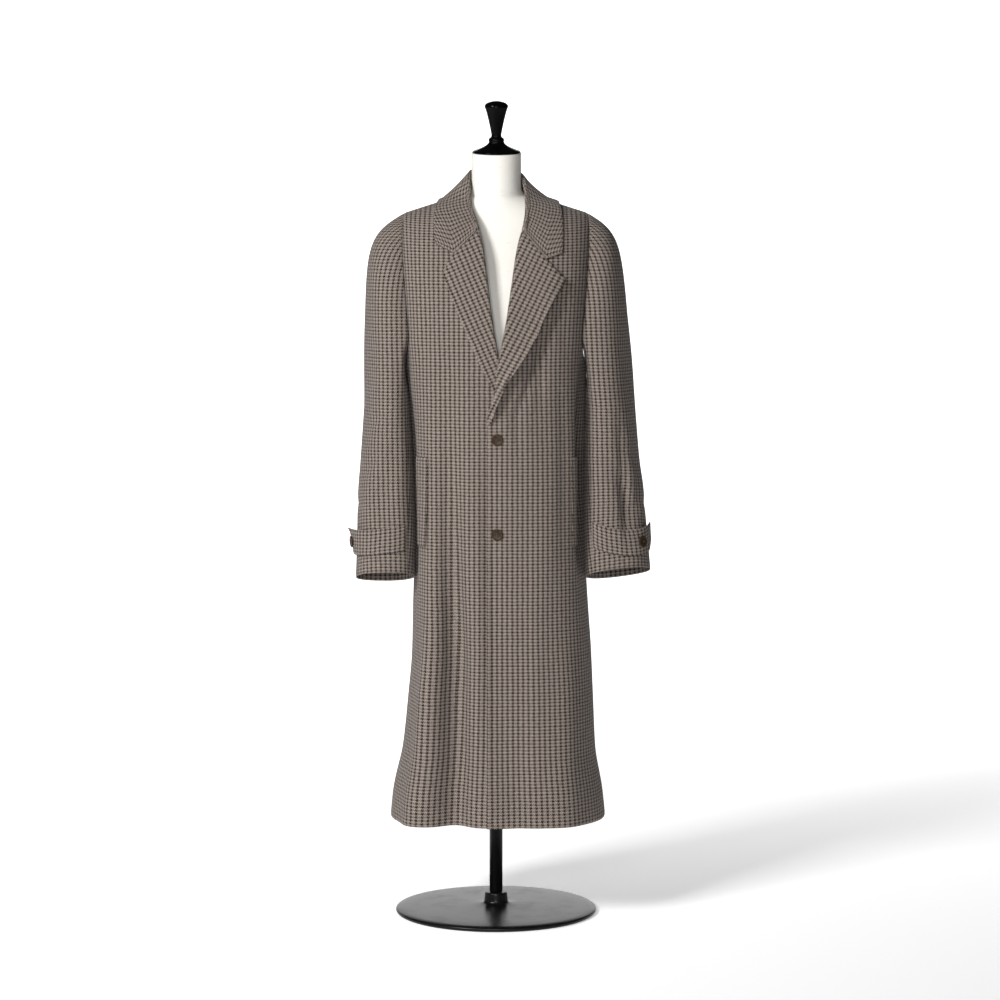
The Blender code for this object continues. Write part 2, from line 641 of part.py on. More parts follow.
def notch_line(side, share):
    """The line from the gorge at the roll to the notch, in the front view."""
    notch = NOTCH[side]
    start = np.array([front_edge(side, notch.gorge_height), notch.gorge_height])
    end = np.array([notch.notch_out, notch.notch_height])
    return start + (end - start) * share


def grid_normals(points, side):
    """The way a grid of points faces, with its columns running outwards and its rows upwards."""
    grid = np.array(points)
    facing = np.cross(np.gradient(grid, axis=1), np.gradient(grid, axis=0)) * side
    return facing / np.linalg.norm(facing, axis=2, keepdims=True)


ROLL_TURNS = [math.pi * i / 4 for i in range(5)]
LAPEL_SHARES = (0.18, 0.38, NOTCH_SHARE, 0.8, 1.0)
LAPEL_ROWS = 11
GORGE_GAP = 0.0006
ROLL_GAP = 2 * SEAM


def edge_of(front, height):
    """A front's edge at a height: the point, the way the cloth faces there and the way past the edge."""
    points = np.array([front.points[i] for i in front.edge])
    normals = np.array([front.normals[i] for i in front.edge])
    above = min(max(int(np.searchsorted(points[:, 2], height)), 1), len(points) - 1)
    share = (height - points[above - 1][2]) / (points[above][2] - points[above - 1][2])
    point = points[above - 1] + (points[above] - points[above - 1]) * share
    facing = unit(normals[above - 1] + (normals[above] - normals[above - 1]) * share)
    past = unit(np.cross(points[above] - points[above - 1], facing))
    inside = points[above][0] - np.array(front.points[front.edge[above] + 1])[0]
    return point, facing, past * math.copysign(1, past[0] * inside)


def roll_points(front, height, stand=ROLL_STAND):
    """The cloth turning round a front's edge, from its inside to the lapel's face, and its normals."""
    edge_point, facing, past = edge_of(front, height)
    radius = (stand + CLOTH) / 2
    points = [edge_point + past * (radius * math.sin(turn) + ROLL_GAP)
              + facing * (radius * (1 - math.cos(turn)) - CLOTH) for turn in ROLL_TURNS]
    return points, [past * math.sin(turn) - facing * math.cos(turn) for turn in ROLL_TURNS]


def lapel_sheet(side, front, tree):
    """A lapel: it turns round the front's edge and lies back over the front to its outer edge."""
    notch, rows = NOTCH[side], LAPEL_EDGE[side]
    bottom, tip = rows[0].height, rows[-1].height
    points, normals = [], []
    for row in range(LAPEL_ROWS + 1):
        share = row / LAPEL_ROWS
        roll_z = bottom + (notch.gorge_height - GORGE_GAP - bottom) * share
        roll = np.array([front_edge(side, roll_z), roll_z])
        edge_z = bottom + (tip - bottom) * share
        edge = np.array([column_at(rows, "out", edge_z), edge_z])
        roll_stand = BREAK_STAND + (ROLL_STAND - BREAK_STAND) * ease(share / BREAK_SHARE)
        line, facing = roll_points(front, roll_z, roll_stand)
        belly = LAPEL_BELLY[side] * ease(share / BELLY_FULL)
        belly *= 1 - TIP_BELLY * ease((share - BELLY_TIP) / (1 - BELLY_TIP))
        for across in LAPEL_SHARES:
            flat = roll + (edge - roll) * across
            top = notch_line(side, min(across / NOTCH_SHARE, 1.0))
            if across > NOTCH_SHARE:
                beyond = (across - NOTCH_SHARE) / (1 - NOTCH_SHARE)
                top = top + (edge_at_tip(side) - top) * beyond
            top[1] -= GORGE_GAP
            straight = np.array([front_edge(side, notch.gorge_height), notch.gorge_height])
            straight = straight + (edge_at_tip(side) - straight) * across
            flat = flat + (top - straight) * share ** 3
            under, way = on_panel(tree, flat[0], side, flat[1])
            stand = roll_stand + (min(roll_stand, LAPEL_STAND[side]) - roll_stand) * across
            stand += belly * across ** 3
            line.append(under + way * stand)
            facing.append(way)
        points.append(line)
        normals.append(facing)
    sheet = Sheet()
    sheet.grid(points, normals)
    return sheet


def edge_at_tip(side):
    tip = LAPEL_EDGE[side][-1]
    return np.array([tip.out, tip.height])


COLLAR_STEPS = 11
FALL_SHARES = (0.18, 0.38, NOTCH_SHARE, 0.8, 1.0)
FALL_CLEAR = DOUBLED + 2 * RESTING
BACK_SHARE = 0.42                # the back neck's share of half the neck seam
NECK_POWER = 1.25                # sections gather at the shoulder seam and spread towards the gorge
CLEAR_REACH = 0.02               # surfaces further off than this don't move a point
CROWN = {RIGHT: 0.003, LEFT: -0.004}   # how far each fall rounds out between its fold and its edge
FOLD_TURN = 0.0046               # how far the fold reaches from its line
FOLD_FLAT = 0.8                  # and the lesser share of it, inwards at the stand and down at the fall
ROLL_FROM, ROLL_FULL = 0.50, 0.86      # where the fold passes into the lapel's roll, along half the collar
LYING_FROM = 0.55                # and from where the fall comes to lie on the front


def neck_edge(side, share):
    """The body's neck edge from the centre back (0) to the gorge (1), and the ways it faces."""
    if share < BACK_SHARE:
        column = NECK_SHARE * share / BACK_SHARE
        return back_at(side, column, 2.0), panel_normal(back_at, side, column, 2.0)
    fall = ((share - BACK_SHARE) / (1 - BACK_SHARE)) ** NECK_POWER
    height = NECK_POINT[2] + (NOTCH[side].gorge_height + GORGE_GAP - NECK_POINT[2]) * fall
    climb = math.asin((height - CHEST) / (NECK_POINT[2] - CHEST)) * 2 / math.pi
    return front_at(side, 0.0, 1 + climb), panel_normal(front_at, side, 0.0, 1 + climb)


def clear_of(tree, point, gap):
    """The point, moved out where it is closer than a gap to a surface or behind it."""
    place, normal, _, distance = tree.find_nearest(Vector(point))
    place, normal = np.array(place), np.array(normal)
    away = float((point - place) @ normal)
    return point + normal * (gap - away) if away < gap and distance < CLEAR_REACH else point


def collar_row(side, share, front, panel, back_panel):
    """One section of the collar, from the neck seam up the stand, over the fold and down the fall."""
    notch = NOTCH[side]
    seam, facing = neck_edge(side, share)
    roll, roll_ways = roll_points(front, max(seam[2], notch.gorge_height + GORGE_GAP))
    gorge_roll, _ = roll_points(front, notch.gorge_height + GORGE_GAP)
    corner, corner_facing = on_panel(panel, notch.corner_out, side, notch.corner_height)
    corner = corner + corner_facing * FALL_CLEAR
    last = CollarStation(side * gorge_roll[2][0], *gorge_roll[2][1:], side * corner[0], *corner[1:])
    stations = (COLLAR_BACK, *COLLAR[side], last)
    keys = [i / (len(stations) - 1) for i in range(len(stations))]
    at = CollarStation(*[smooth(keys, [s[i] for s in stations], share) for i in range(len(last))])
    fold = np.array([side * at.fold_out, at.fold_y, at.fold_z])
    edge = np.array([side * at.edge_out, at.edge_y, at.edge_z])
    outward = unit((edge - fold) * np.array([1.0, 1.0, 0.0]))
    up = np.array([0.0, 0.0, 1.0])
    foot = seam - outward * 2 * SEAM + up * 3 * SEAM
    inside = fold - outward * FOLD_TURN * FOLD_FLAT - up * FOLD_TURN
    outside = fold + outward * FOLD_TURN - up * FOLD_TURN * FOLD_FLAT
    line = [foot, (foot + inside) / 2, inside, fold, outside]
    ways = [-outward, -outward, up * 0.5 - outward, up, outward * FOLD_FLAT + up]
    blend = ease((share - ROLL_FROM) / (ROLL_FULL - ROLL_FROM))
    line = [a + (b - a) * blend for a, b in zip(line, roll)]
    ways = [unit(unit(a) * (1 - blend) + b * blend) for a, b in zip(ways, roll_ways)]
    crown = (outside + edge) / 2 + up * CROWN[side]
    for across in FALL_SHARES:
        rest = 1 - across
        point = line[4] * rest * rest + crown * 2 * rest * across + edge * across * across
        flat = notch_line(side, min(across / NOTCH_SHARE, 1.0))
        if across > NOTCH_SHARE:
            beyond = (across - NOTCH_SHARE) / (1 - NOTCH_SHARE)
            flat = flat + (np.array([notch.corner_out, notch.corner_height]) - flat) * beyond
        under, way = on_panel(panel, flat[0], side, flat[1] + GORGE_GAP)
        lying = under + way * (ROLL_STAND + (FALL_CLEAR - ROLL_STAND) * across)
        point = point + (lying - point) * ease((share - LYING_FROM) / (1 - LYING_FROM))
        for tree in (panel, back_panel):
            point = clear_of(tree, point, FALL_CLEAR)
        line.append(point)
        ways.append(way if share == 1 else None)
    return line, ways


def collar_sheet(fronts, trees):
    """The whole collar, from the right gorge round the back to the left gorge."""
    shares = [i / COLLAR_STEPS for i in range(COLLAR_STEPS + 1)]
    sections = [collar_row(RIGHT, share, fronts[RIGHT], *trees[RIGHT]) for share in shares[:0:-1]]
    sections += [collar_row(LEFT, share, fronts[LEFT], *trees[LEFT]) for share in shares]
    points = [line for line, _ in sections]
    normals = -grid_normals(points, LEFT)
    for row, (_, ways) in zip(normals, sections):
        for place, way in enumerate(ways):
            if way is not None:
                row[place] = way
    sheet = Sheet()
    sheet.grid(points, normals)
    return sheet


# The pocket welts: their heights, their place across the fronts and how far they slant
WELT_BOTTOM, WELT_TOP, WELT_ROWS = 0.715, 0.881, 8
WELT_NEAR, WELT_FAR, WELT_SLANT, WELT_COLUMNS = 0.88, 1.03, 0.030, 6
WELT_STAND = 0.0038              # height of a welt's face over the front


def welt_sheet(side, tree):
    """A pocket welt on the front's outer part, laid on the front's points."""
    points = []
    for row in range(WELT_ROWS + 1):
        share = row / WELT_ROWS
        height = WELT_BOTTOM + (WELT_TOP - WELT_BOTTOM) * share
        line = []
        for column in range(WELT_COLUMNS + 1):
            across = WELT_NEAR + (WELT_FAR - WELT_NEAR) * column / WELT_COLUMNS + WELT_SLANT * (1 - share)
            place = tree.find_nearest(Vector(front_low(side, across, height)))[0]
            line.append(np.array(place))
        points.append(line)
    normals = grid_normals(points, side)
    points = [[p + n * WELT_STAND for p, n in zip(*pair)] for pair in zip(points, normals)]
    sheet = Sheet()
    sheet.grid(points, normals)
    return sheet


# The cuff straps: from the front seam round the front to the outer line, with a free end
Strap = namedtuple("Strap", "side start end start_height sag end_height low_stand high_stand taper button")
STRAPS = (
    Strap(RIGHT, 119, -22, 0.729, 0.004, 0.716, 0.0080, 0.0200, 0.60, 0.84),
    Strap(LEFT, 124, -4, 0.735, 0.015, 0.729, 0.0070, 0.0085, 0.25, 0.68),
)
STRAP_STAND = 0.0042             # height of the strap's face over the sleeve
SEWN_STAND = DOUBLED + 2 * SEAM  # and where it is sewn to the sleeve
SEWN_SHARE, TAPER_SHARE = 0.15, 0.86   # where the sewn end stops and the free end starts to taper
STRAP_STEPS, STRAP_CROSS = 16, 4


def strap_point(strap, tree, share, across):
    """A point of a strap's face: share runs to its free end, across from its lower to its upper edge."""
    around = math.radians(strap.start + (strap.end - strap.start) * share) % (2 * math.pi)
    middle = strap.start_height + (strap.end_height - strap.start_height) * share
    middle -= strap.sag * math.sin(math.pi * share)
    narrowing = strap.taper * ease((share - TAPER_SHARE) / (1 - TAPER_SHARE))
    height = middle + (across - 0.5 + narrowing * (1 - across)) * STRAP_WIDTH
    ring = sleeve_ring(strap.side, around, height)
    level = height + (height - ring[2])
    down = 1 + (BICEP - level) / (BICEP - SLEEVES[0].height)
    lift = strap.low_stand + (strap.high_stand - strap.low_stand) * across
    stand = STRAP_STAND + (lift - STRAP_STAND) * share ** 4
    stand += (SEWN_STAND - stand) * (1 - ease(share / SEWN_SHARE))
    place, _, _, _ = tree.find_nearest(Vector(sleeve_at(strap.side, around, down)))
    return np.array(place) + sleeve_normal(strap.side, around, down) * stand


def strap_sheet(strap, tree):
    """A cuff strap, laid on the points of its upper sleeve."""
    points = [[strap_point(strap, tree, i / STRAP_STEPS, j / STRAP_CROSS) for j in range(STRAP_CROSS + 1)]
              for i in range(STRAP_STEPS + 1)]
    sheet = Sheet()
    sheet.grid(points, -grid_normals(points, strap.side))
    return sheet


def turned(name, profile, finish, sides, place=(0.0, 0.0, 0.0), lean=0.0):
    """A turned piece from a profile that starts and ends on its axis."""
    points, faces = [], []
    for turn in profile:
        if turn.radius == 0:
            points.append((0.0, 0.0, turn.height))
            continue
        for i in range(sides):
            angle = 2 * math.pi * i / sides
            points.append((turn.radius * math.cos(angle), turn.radius * math.sin(angle), turn.height))
    rings = len(profile) - 2
    last = len(points) - 1
    for i in range(sides):
        j = (i + 1) % sides
        faces.append((0, 1 + j, 1 + i))
        for ring in range(rings - 1):
            low, high = 1 + ring * sides, 1 + (ring + 1) * sides
            faces.append((low + i, low + j, high + j, high + i))
        top = 1 + (rings - 1) * sides
        faces.append((top + i, top + j, last))
    made = new_object(name, points, faces, finish)
    made.location = place
    made.rotation_euler = (lean, 0.0, 0.0)
    return made


BUTTON = (
    Turn(0.0, 0.0), Turn(0.0080, 0.0), Turn(BUTTON_RADIUS - 0.0004, 0.0010), Turn(BUTTON_RADIUS, 0.0019),
    Turn(BUTTON_RADIUS - 0.0006, 0.0030), Turn(0.0088, 0.0034), Turn(0.0070, 0.0026), Turn(0.0, 0.0022),
)
BUTTON_SIDES = 20
HOLE_RADIUS, HOLE_PITCH, HOLE_SIDES = 0.0010, 0.0017, 6
DRILL_DEPTH = 0.02               # longer than any button is thick


def button(name, place, facing, finish):
    """A dished button with four sewing holes, its back towards the cloth."""
    turn = Vector(facing).to_track_quat("Z", "Y")
    made = turned(name, BUTTON, finish, BUTTON_SIDES)
    cutter = bpy.data.meshes.new(name + "_holes")
    work = bmesh.new()
    for x in (-HOLE_PITCH, HOLE_PITCH):
        for y in (-HOLE_PITCH, HOLE_PITCH):
            drill = bmesh.ops.create_cone(work, cap_ends=True, segments=HOLE_SIDES, radius1=HOLE_RADIUS,
                                          radius2=HOLE_RADIUS, depth=DRILL_DEPTH)
            bmesh.ops.translate(work, verts=drill["verts"], vec=(x, y, 0.0))
    work.to_mesh(cutter)
    work.free()
    drills = bpy.data.objects.new(name + "_holes", cutter)
    bpy.context.scene.collection.objects.link(drills)
    drills.hide_render = True
    drills.display_type = "WIRE"
    for piece in (made, drills):
        piece.location = place
        piece.rotation_mode = "QUATERNION"
        piece.rotation_quaternion = turn
    cut = made.modifiers.new("Sewing holes", "BOOLEAN")
    cut.operation = "DIFFERENCE"
    cut.object = drills
    return made


def form_torso(finish):
    """The form's torso and neck, closed flat at the bottom and at the leaning neck."""
    sides = FORM_SIDES
    points, faces = [], []
    for ring in FORM:
        lean = ease((ring.height - LEAN_FROM) / (LEAN_FULL - LEAN_FROM)) * math.tan(NECK_LEAN)
        for i in range(sides):
            angle = 2 * math.pi * i / sides
            x, y = ring.half * math.cos(angle), signed_power(math.sin(angle), ring.peak)
            y *= ring.back if y > 0 else ring.front
            points.append((FORM_SHIFT + x, y, ring.height + y * lean))
    for low in range(len(FORM) - 1):
        for i in range(sides):
            j = (i + 1) % sides
            faces.append((low * sides + i, low * sides + j, (low + 1) * sides + j, (low + 1) * sides + i))
    faces.append(tuple(reversed(range(sides))))
    faces.append(tuple(range((len(FORM) - 1) * sides, len(FORM) * sides)))
    return new_object("form_torso", points, faces, finish)


for old in list(bpy.data.objects):
    bpy.data.objects.remove(old, do_unlink=True)

tweed = material("tweed", (0.20, 0.16, 0.14), 0.9)
horn = material("horn", (0.07, 0.045, 0.03), 0.35)
canvas = material("canvas", (0.82, 0.80, 0.73), 0.8)
lacquer = material("lacquer", (0.006, 0.006, 0.007), 0.15)
enamel = material("enamel", (0.01, 0.01, 0.011), 0.35)

side_names = {RIGHT: "right", LEFT: "left"}
fronts, trees = {}, {}
for side, word in side_names.items():
    fronts[side] = panel_sheet(front_at, side, FRONT_COLUMNS, FRONT_SIDE_COLUMNS)
    cloth_wall(word + "_front", fronts[side], CLOTH, tweed)
    back = panel_sheet(back_at, side, BACK_COLUMNS, BACK_SIDE_COLUMNS)
    cloth_wall(word + "_back", back, CLOTH, tweed)
    trees[side] = fronts[side].tree(), back.tree()
sleeve_trees = {}
for side, word in side_names.items():
    upper, under = sleeve_sheets(side)
    sleeve_trees[side] = upper.tree()
    cloth_wall(word + "_upper_sleeve", upper, CLOTH, tweed)
    cloth_wall(word + "_under_sleeve", under, CLOTH, tweed)
for side, word in side_names.items():
    cloth_wall(word + "_lapel", lapel_sheet(side, fronts[side], trees[side][0]), DOUBLED, tweed)
cloth_wall("collar", collar_sheet(fronts, trees), DOUBLED, tweed)
for side, word in side_names.items():
    cloth_wall(word + "_pocket_welt", welt_sheet(side, trees[side][0]), DOUBLED, tweed)
for strap in STRAPS:
    word = side_names[strap.side]
    band = strap_sheet(strap, sleeve_trees[strap.side])
    cloth_wall(word + "_cuff_strap", band, DOUBLED, tweed)
    middle = round(strap.button * STRAP_STEPS) * (STRAP_CROSS + 1) + STRAP_CROSS // 2
    facing = band.normals[middle]
    button(word + "_cuff_button", band.points[middle] + facing * 2 * SEAM, facing, horn)
for name, height in FRONT_BUTTONS:
    centre, facing = on_panel(trees[LEFT][0], FRONT_BUTTON_OUT, LEFT, height)
    button(name, centre + facing * SEAM, facing, horn)

form_torso(canvas)
neck_top = FORM[-1].height
turned("form_finial", FINIAL, lacquer, TURNED_SIDES, (FORM_SHIFT, 0.0, neck_top + SEAM), NECK_LEAN)
foot_top = FOOT[-1].height
turned("form_base", FOOT, enamel, FOOT_SIDES)
pole = (Turn(0.0, 0.0), Turn(POLE_RADIUS, 0.0), Turn(POLE_RADIUS, FORM[0].height - foot_top - 2 * SEAM),
        Turn(0.0, FORM[0].height - foot_top - 2 * SEAM))
turned("form_pole", pole, enamel, TURNED_SIDES, (0.0, 0.0, foot_top + SEAM))
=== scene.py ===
import math
from collections import namedtuple
from functools import lru_cache

import bmesh
import bpy
import numpy as np
from mathutils import Matrix, Vector
from mathutils.bvhtree import BVHTree


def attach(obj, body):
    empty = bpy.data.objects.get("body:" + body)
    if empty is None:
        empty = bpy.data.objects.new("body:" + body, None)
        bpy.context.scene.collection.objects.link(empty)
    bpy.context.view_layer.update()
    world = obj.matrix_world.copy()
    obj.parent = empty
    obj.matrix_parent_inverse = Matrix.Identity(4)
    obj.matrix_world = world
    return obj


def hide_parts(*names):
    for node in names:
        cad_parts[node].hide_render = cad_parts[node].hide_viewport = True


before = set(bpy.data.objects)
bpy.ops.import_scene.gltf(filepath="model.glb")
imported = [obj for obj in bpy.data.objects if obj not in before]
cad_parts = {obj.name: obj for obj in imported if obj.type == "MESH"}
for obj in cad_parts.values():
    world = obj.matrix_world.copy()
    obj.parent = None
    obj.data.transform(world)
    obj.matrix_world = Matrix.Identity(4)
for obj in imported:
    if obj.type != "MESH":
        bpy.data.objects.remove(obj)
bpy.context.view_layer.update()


# The stand: a heavy round foot and a straight pole, both of steel in black enamel.
# The foot is turned, with a socket in its middle, and the pole is set into the socket and the form.

class Shade:
    """A shader socket that can be added, multiplied and compared in Python."""

    def __init__(self, socket):
        self.socket = socket

    def node(self, kind, settings, inputs, output=0):
        """Adds a node: its settings first, then the values or links of its sockets."""
        tree = self.socket.id_data
        made = tree.nodes.new(kind)
        for name, value in settings.items():
            setattr(made, name, value)
        for name, value in inputs.items():
            if isinstance(value, Shade):
                tree.links.new(value.socket, made.inputs[name])
            else:
                made.inputs[name].default_value = value
        return Shade(made.outputs[output])

    def math(self, operation, *values):
        return self.node("ShaderNodeMath", {"operation": operation}, dict(enumerate(values)))

    def __add__(self, other): return self.math("ADD", self, other)
    def __radd__(self, other): return self.math("ADD", other, self)
    def __sub__(self, other): return self.math("SUBTRACT", self, other)
    def __rsub__(self, other): return self.math("SUBTRACT", other, self)
    def __mul__(self, other): return self.math("MULTIPLY", self, other)
    def __rmul__(self, other): return self.math("MULTIPLY", other, self)
    def __truediv__(self, other): return self.math("DIVIDE", self, other)
    def __mod__(self, other): return self.math("FLOORED_MODULO", self, other)
    def __lt__(self, other): return self.math("LESS_THAN", self, other)

    def floor(self):
        return self.math("FLOOR", self)

    def between(self, low, high):
        """0 below low, 1 above high, and a straight rise between them."""
        return self.node("ShaderNodeMapRange", {}, {"Value": self, "From Min": low, "From Max": high})

    def mix(self, first, second):
        """A colour between two colours, with this value as the share of the second."""
        return self.node("ShaderNodeMix", {"data_type": "RGBA"}, {"Factor": self, 6: first, 7: second}, 2)

    def scaled(self, x, y, z):
        """These coordinates, stretched."""
        return self.node("ShaderNodeVectorMath", {"operation": "MULTIPLY"}, {0: self, 1: (x, y, z)})

    def part(self, axis):
        """One of these coordinates."""
        return self.node("ShaderNodeSeparateXYZ", {}, {"Vector": self}, axis)

    def noise(self, scale, detail=3.0, roughness=0.5):
        return self.node("ShaderNodeTexNoise", {}, {"Vector": self, "Scale": scale, "Detail": detail,
                                                    "Roughness": roughness})


class Finish:
    """A Principled material, with its coordinates and its shader at hand."""

    def __init__(self, name, coordinates="Object", **constants):
        self.material = bpy.data.materials.new(name)
        self.material.use_nodes = True
        self.tree = self.material.node_tree
        self.shader = self.tree.nodes["Principled BSDF"]
        for socket, value in constants.items():
            self.shader.inputs[socket.replace("_", " ").title().replace("Ior", "IOR")].default_value = value
        self.place = Shade(self.tree.nodes.new("ShaderNodeTexCoord").outputs[coordinates])

    def feed(self, socket, value):
        self.tree.links.new(value.socket, self.shader.inputs[socket])

    def bump(self, height, strength, distance):
        """Relief from a height between 0 and 1."""
        self.feed("Normal", height.node("ShaderNodeBump", {}, {"Strength": strength, "Distance": distance,
                                                               "Height": height}))


def fresh_ring(sides, radius, height):
    """A new circle of points, alone in its selection and in edit mode."""
    bpy.ops.object.select_all(action="DESELECT")
    bpy.ops.mesh.primitive_circle_add(vertices=sides, radius=radius, location=(0, 0, height))
    bpy.ops.object.transform_apply(location=True)
    bpy.ops.object.mode_set(mode="EDIT")
    bpy.ops.mesh.select_all(action="SELECT")
    return bpy.context.object


def close_ends(piece):
    """Fills the top ring, which is selected, and then the bottom one, and turns the faces outwards."""
    bpy.ops.mesh.edge_face_add()
    work = bmesh.from_edit_mesh(piece.data)
    for vert in work.verts:
        vert.select = False
    work.select_flush(False)
    for edge in work.edges:
        if edge.is_boundary:
            edge.select_set(True)
    bmesh.update_edit_mesh(piece.data)
    bpy.ops.mesh.edge_face_add()
    bpy.ops.mesh.select_all(action="SELECT")
    bpy.ops.mesh.normals_make_consistent(inside=False)
    bpy.ops.object.mode_set(mode="OBJECT")


SMOOTH_ANGLE = math.radians(50)  # edges that bend more than this stay sharp


def turned_piece(name, profile, sides, finish, levels=1):
    """A turned piece: a ring drawn up and scaled through the steps of its profile, radius by height."""
    piece = fresh_ring(sides, *profile[0])
    for (radius, height), (next_radius, next_height) in zip(profile, profile[1:]):
        bpy.ops.mesh.extrude_region_move(TRANSFORM_OT_translate={"value": (0, 0, next_height - height)})
        bpy.ops.transform.resize(value=(next_radius / radius, next_radius / radius, 1),
                                 center_override=(0, 0, next_height))
    close_ends(piece)
    piece.name = name
    if levels:
        rounding = piece.modifiers.new("Rounding", "SUBSURF")
        rounding.levels = rounding.render_levels = levels
        bpy.ops.object.modifier_apply(modifier="Rounding")
    bpy.ops.object.shade_smooth_by_angle(angle=SMOOTH_ANGLE)
    piece.data.materials.append(finish.material)
    return piece


def stands_for(piece, node):
    """Fixes a finished piece to the body in the place of its CAD node."""
    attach(piece, "root")
    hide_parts(node)


enamel = Finish("black_enamel", specular_ior_level=0.16)
orange_peel = enamel.place.noise(260.0, 2.0)
scuffs = enamel.place.noise(24.0, 5.0, 0.65).between(0.5, 0.72)
enamel.feed("Base Color", scuffs.mix((0.0035, 0.0035, 0.0037, 1), (0.0058, 0.0056, 0.0054, 1)))
enamel.feed("Roughness", 0.30 + 0.06 * scuffs)
enamel.bump(orange_peel, 0.12, 0.0004)

FOOT = ((0.186, 0.0), (0.1895, 0.0004), (0.1925, 0.0026), (0.1925, 0.0074), (0.1895, 0.0099),
        (0.120, 0.0125), (0.040, 0.0145), (0.0240, 0.0163), (0.0222, 0.0200), (0.0216, 0.0350),
        (0.0208, 0.0371), (0.0190, 0.0375))
FOOT_SIDES, POLE_SIDES = 64, 48
stands_for(turned_piece("foot", FOOT, FOOT_SIDES, enamel), "form_base")

POLE_RADIUS, POLE_FOOT, POLE_TOP, CHAMFER = 0.0125, 0.0378, 0.6547, 0.001
POLE = ((POLE_RADIUS - CHAMFER, POLE_FOOT), (POLE_RADIUS, POLE_FOOT + CHAMFER),
        (POLE_RADIUS, POLE_TOP - CHAMFER), (POLE_RADIUS - CHAMFER, POLE_TOP))
stands_for(turned_piece("pole", POLE, POLE_SIDES, enamel, levels=0), "form_pole")


# The form: a limbless padded torso and neck, covered in cream canvas drawn tight and glued down.
# Its shoulders carry the coat, its bottom is a flat board, and its neck is cut off at a slant.

def ease(value):
    """Smooth step from 0 to 1."""
    value = min(max(value, 0.0), 1.0)
    return value * value * (3 - 2 * value)


def smooth(keys, values, at):
    """A value between table rows, on a curve that never overshoots them."""
    at = min(max(at, keys[0]), keys[-1])
    place = min(int(np.searchsorted(keys, at, "right")) - 1, len(keys) - 2)
    steps = [b - a for a, b in zip(keys, keys[1:])]
    rises = [(b - a) / step for a, b, step in zip(values, values[1:], steps)]

    def slope(row):
        if row in (0, len(keys) - 1):
            return rises[min(row, len(rises) - 1)]
        before, after = rises[row - 1], rises[row]
        return 0.0 if before * after <= 0 else 2 * before * after / (before + after)

    step = steps[place]
    share = (at - keys[place]) / step
    rest = 1 - share
    low, high = rest * rest * (1 + 2 * share), share * share * (1 + 2 * rest)
    bend = step * share * rest * (slope(place) * rest - slope(place + 1) * share)
    return values[place] * low + values[place + 1] * high + bend


def column_at(rows, column, at):
    """One of a table's columns, at a value of its first column."""
    return smooth([row[0] for row in rows], [getattr(row, column) for row in rows], at)


def signed_power(value, exponent):
    return math.copysign(abs(value) ** exponent, value)


FormRing = namedtuple("FormRing", "height half front back peak")
FORM = [FormRing(*row) for row in (
    (0.655, 0.118, 0.080, 0.092, 1.0), (0.664, 0.133, 0.092, 0.104, 1.0),
    (0.700, 0.142, 0.100, 0.113, 1.0), (0.770, 0.143, 0.102, 0.114, 1.0),
    (0.860, 0.126, 0.095, 0.098, 1.0), (0.940, 0.112, 0.091, 0.090, 1.0),
    (1.030, 0.122, 0.120, 0.095, 1.0), (1.110, 0.135, 0.126, 0.102, 1.0),
    (1.190, 0.143, 0.112, 0.106, 1.0), (1.260, 0.150, 0.087, 0.099, 1.1),
    (1.305, 0.156, 0.071, 0.084, 1.3), (1.326, 0.156, 0.063, 0.073, 1.6),
    (1.342, 0.131, 0.0565, 0.064, 2.0), (1.3568, 0.0948, 0.0505, 0.056, 2.3),
    (1.3670, 0.0560, 0.0480, 0.051, 1.6), (1.380, 0.0475, 0.0462, 0.048, 1.0),
    (1.410, 0.0465, 0.0455, 0.0465, 1.0), (1.4475, 0.0465, 0.0465, 0.0465, 1.0),
)]
FORM_SHIFT, FORM_SIDES = 0.0008, 72
NECK_LEAN, LEAN_FROM, LEAN_FULL = math.radians(7), 1.36, 1.43
TORSO_LEVELS, NECK_LEVELS = np.linspace(0.67, 1.30, 34), np.linspace(1.31, 1.44, 22)
form_levels = sorted({ring.height for ring in FORM}.union(TORSO_LEVELS, NECK_LEVELS))


def form_ring(height):
    """The points of one ring of the form."""
    half, front, back, peak = [column_at(FORM, name, height) for name in ("half", "front", "back", "peak")]
    lean = ease((height - LEAN_FROM) / (LEAN_FULL - LEAN_FROM)) * math.tan(NECK_LEAN)
    points = []
    for i in range(FORM_SIDES):
        angle = 2 * math.pi * i / FORM_SIDES
        y = signed_power(math.sin(angle), peak)
        y *= back if y > 0 else front
        points.append((FORM_SHIFT + half * math.cos(angle), y, height + y * lean))
    return points


def turn_of(vert):
    return math.atan2(vert.co.y, vert.co.x) % (2 * math.pi)


form = fresh_ring(FORM_SIDES, FORM[0].half, form_levels[0])
for before, height in zip([None] + form_levels, form_levels):
    if before is not None:
        bpy.ops.mesh.extrude_region_move(TRANSFORM_OT_translate={"value": (0, 0, height - before)})
    work = bmesh.from_edit_mesh(form.data)
    ring = sorted((vert for vert in work.verts if vert.select), key=turn_of)
    for vert, point in zip(ring, form_ring(height)):
        vert.co = point
    bmesh.update_edit_mesh(form.data)
close_ends(form)
form.name = "form"
bpy.ops.object.shade_smooth_by_angle(angle=SMOOTH_ANGLE)

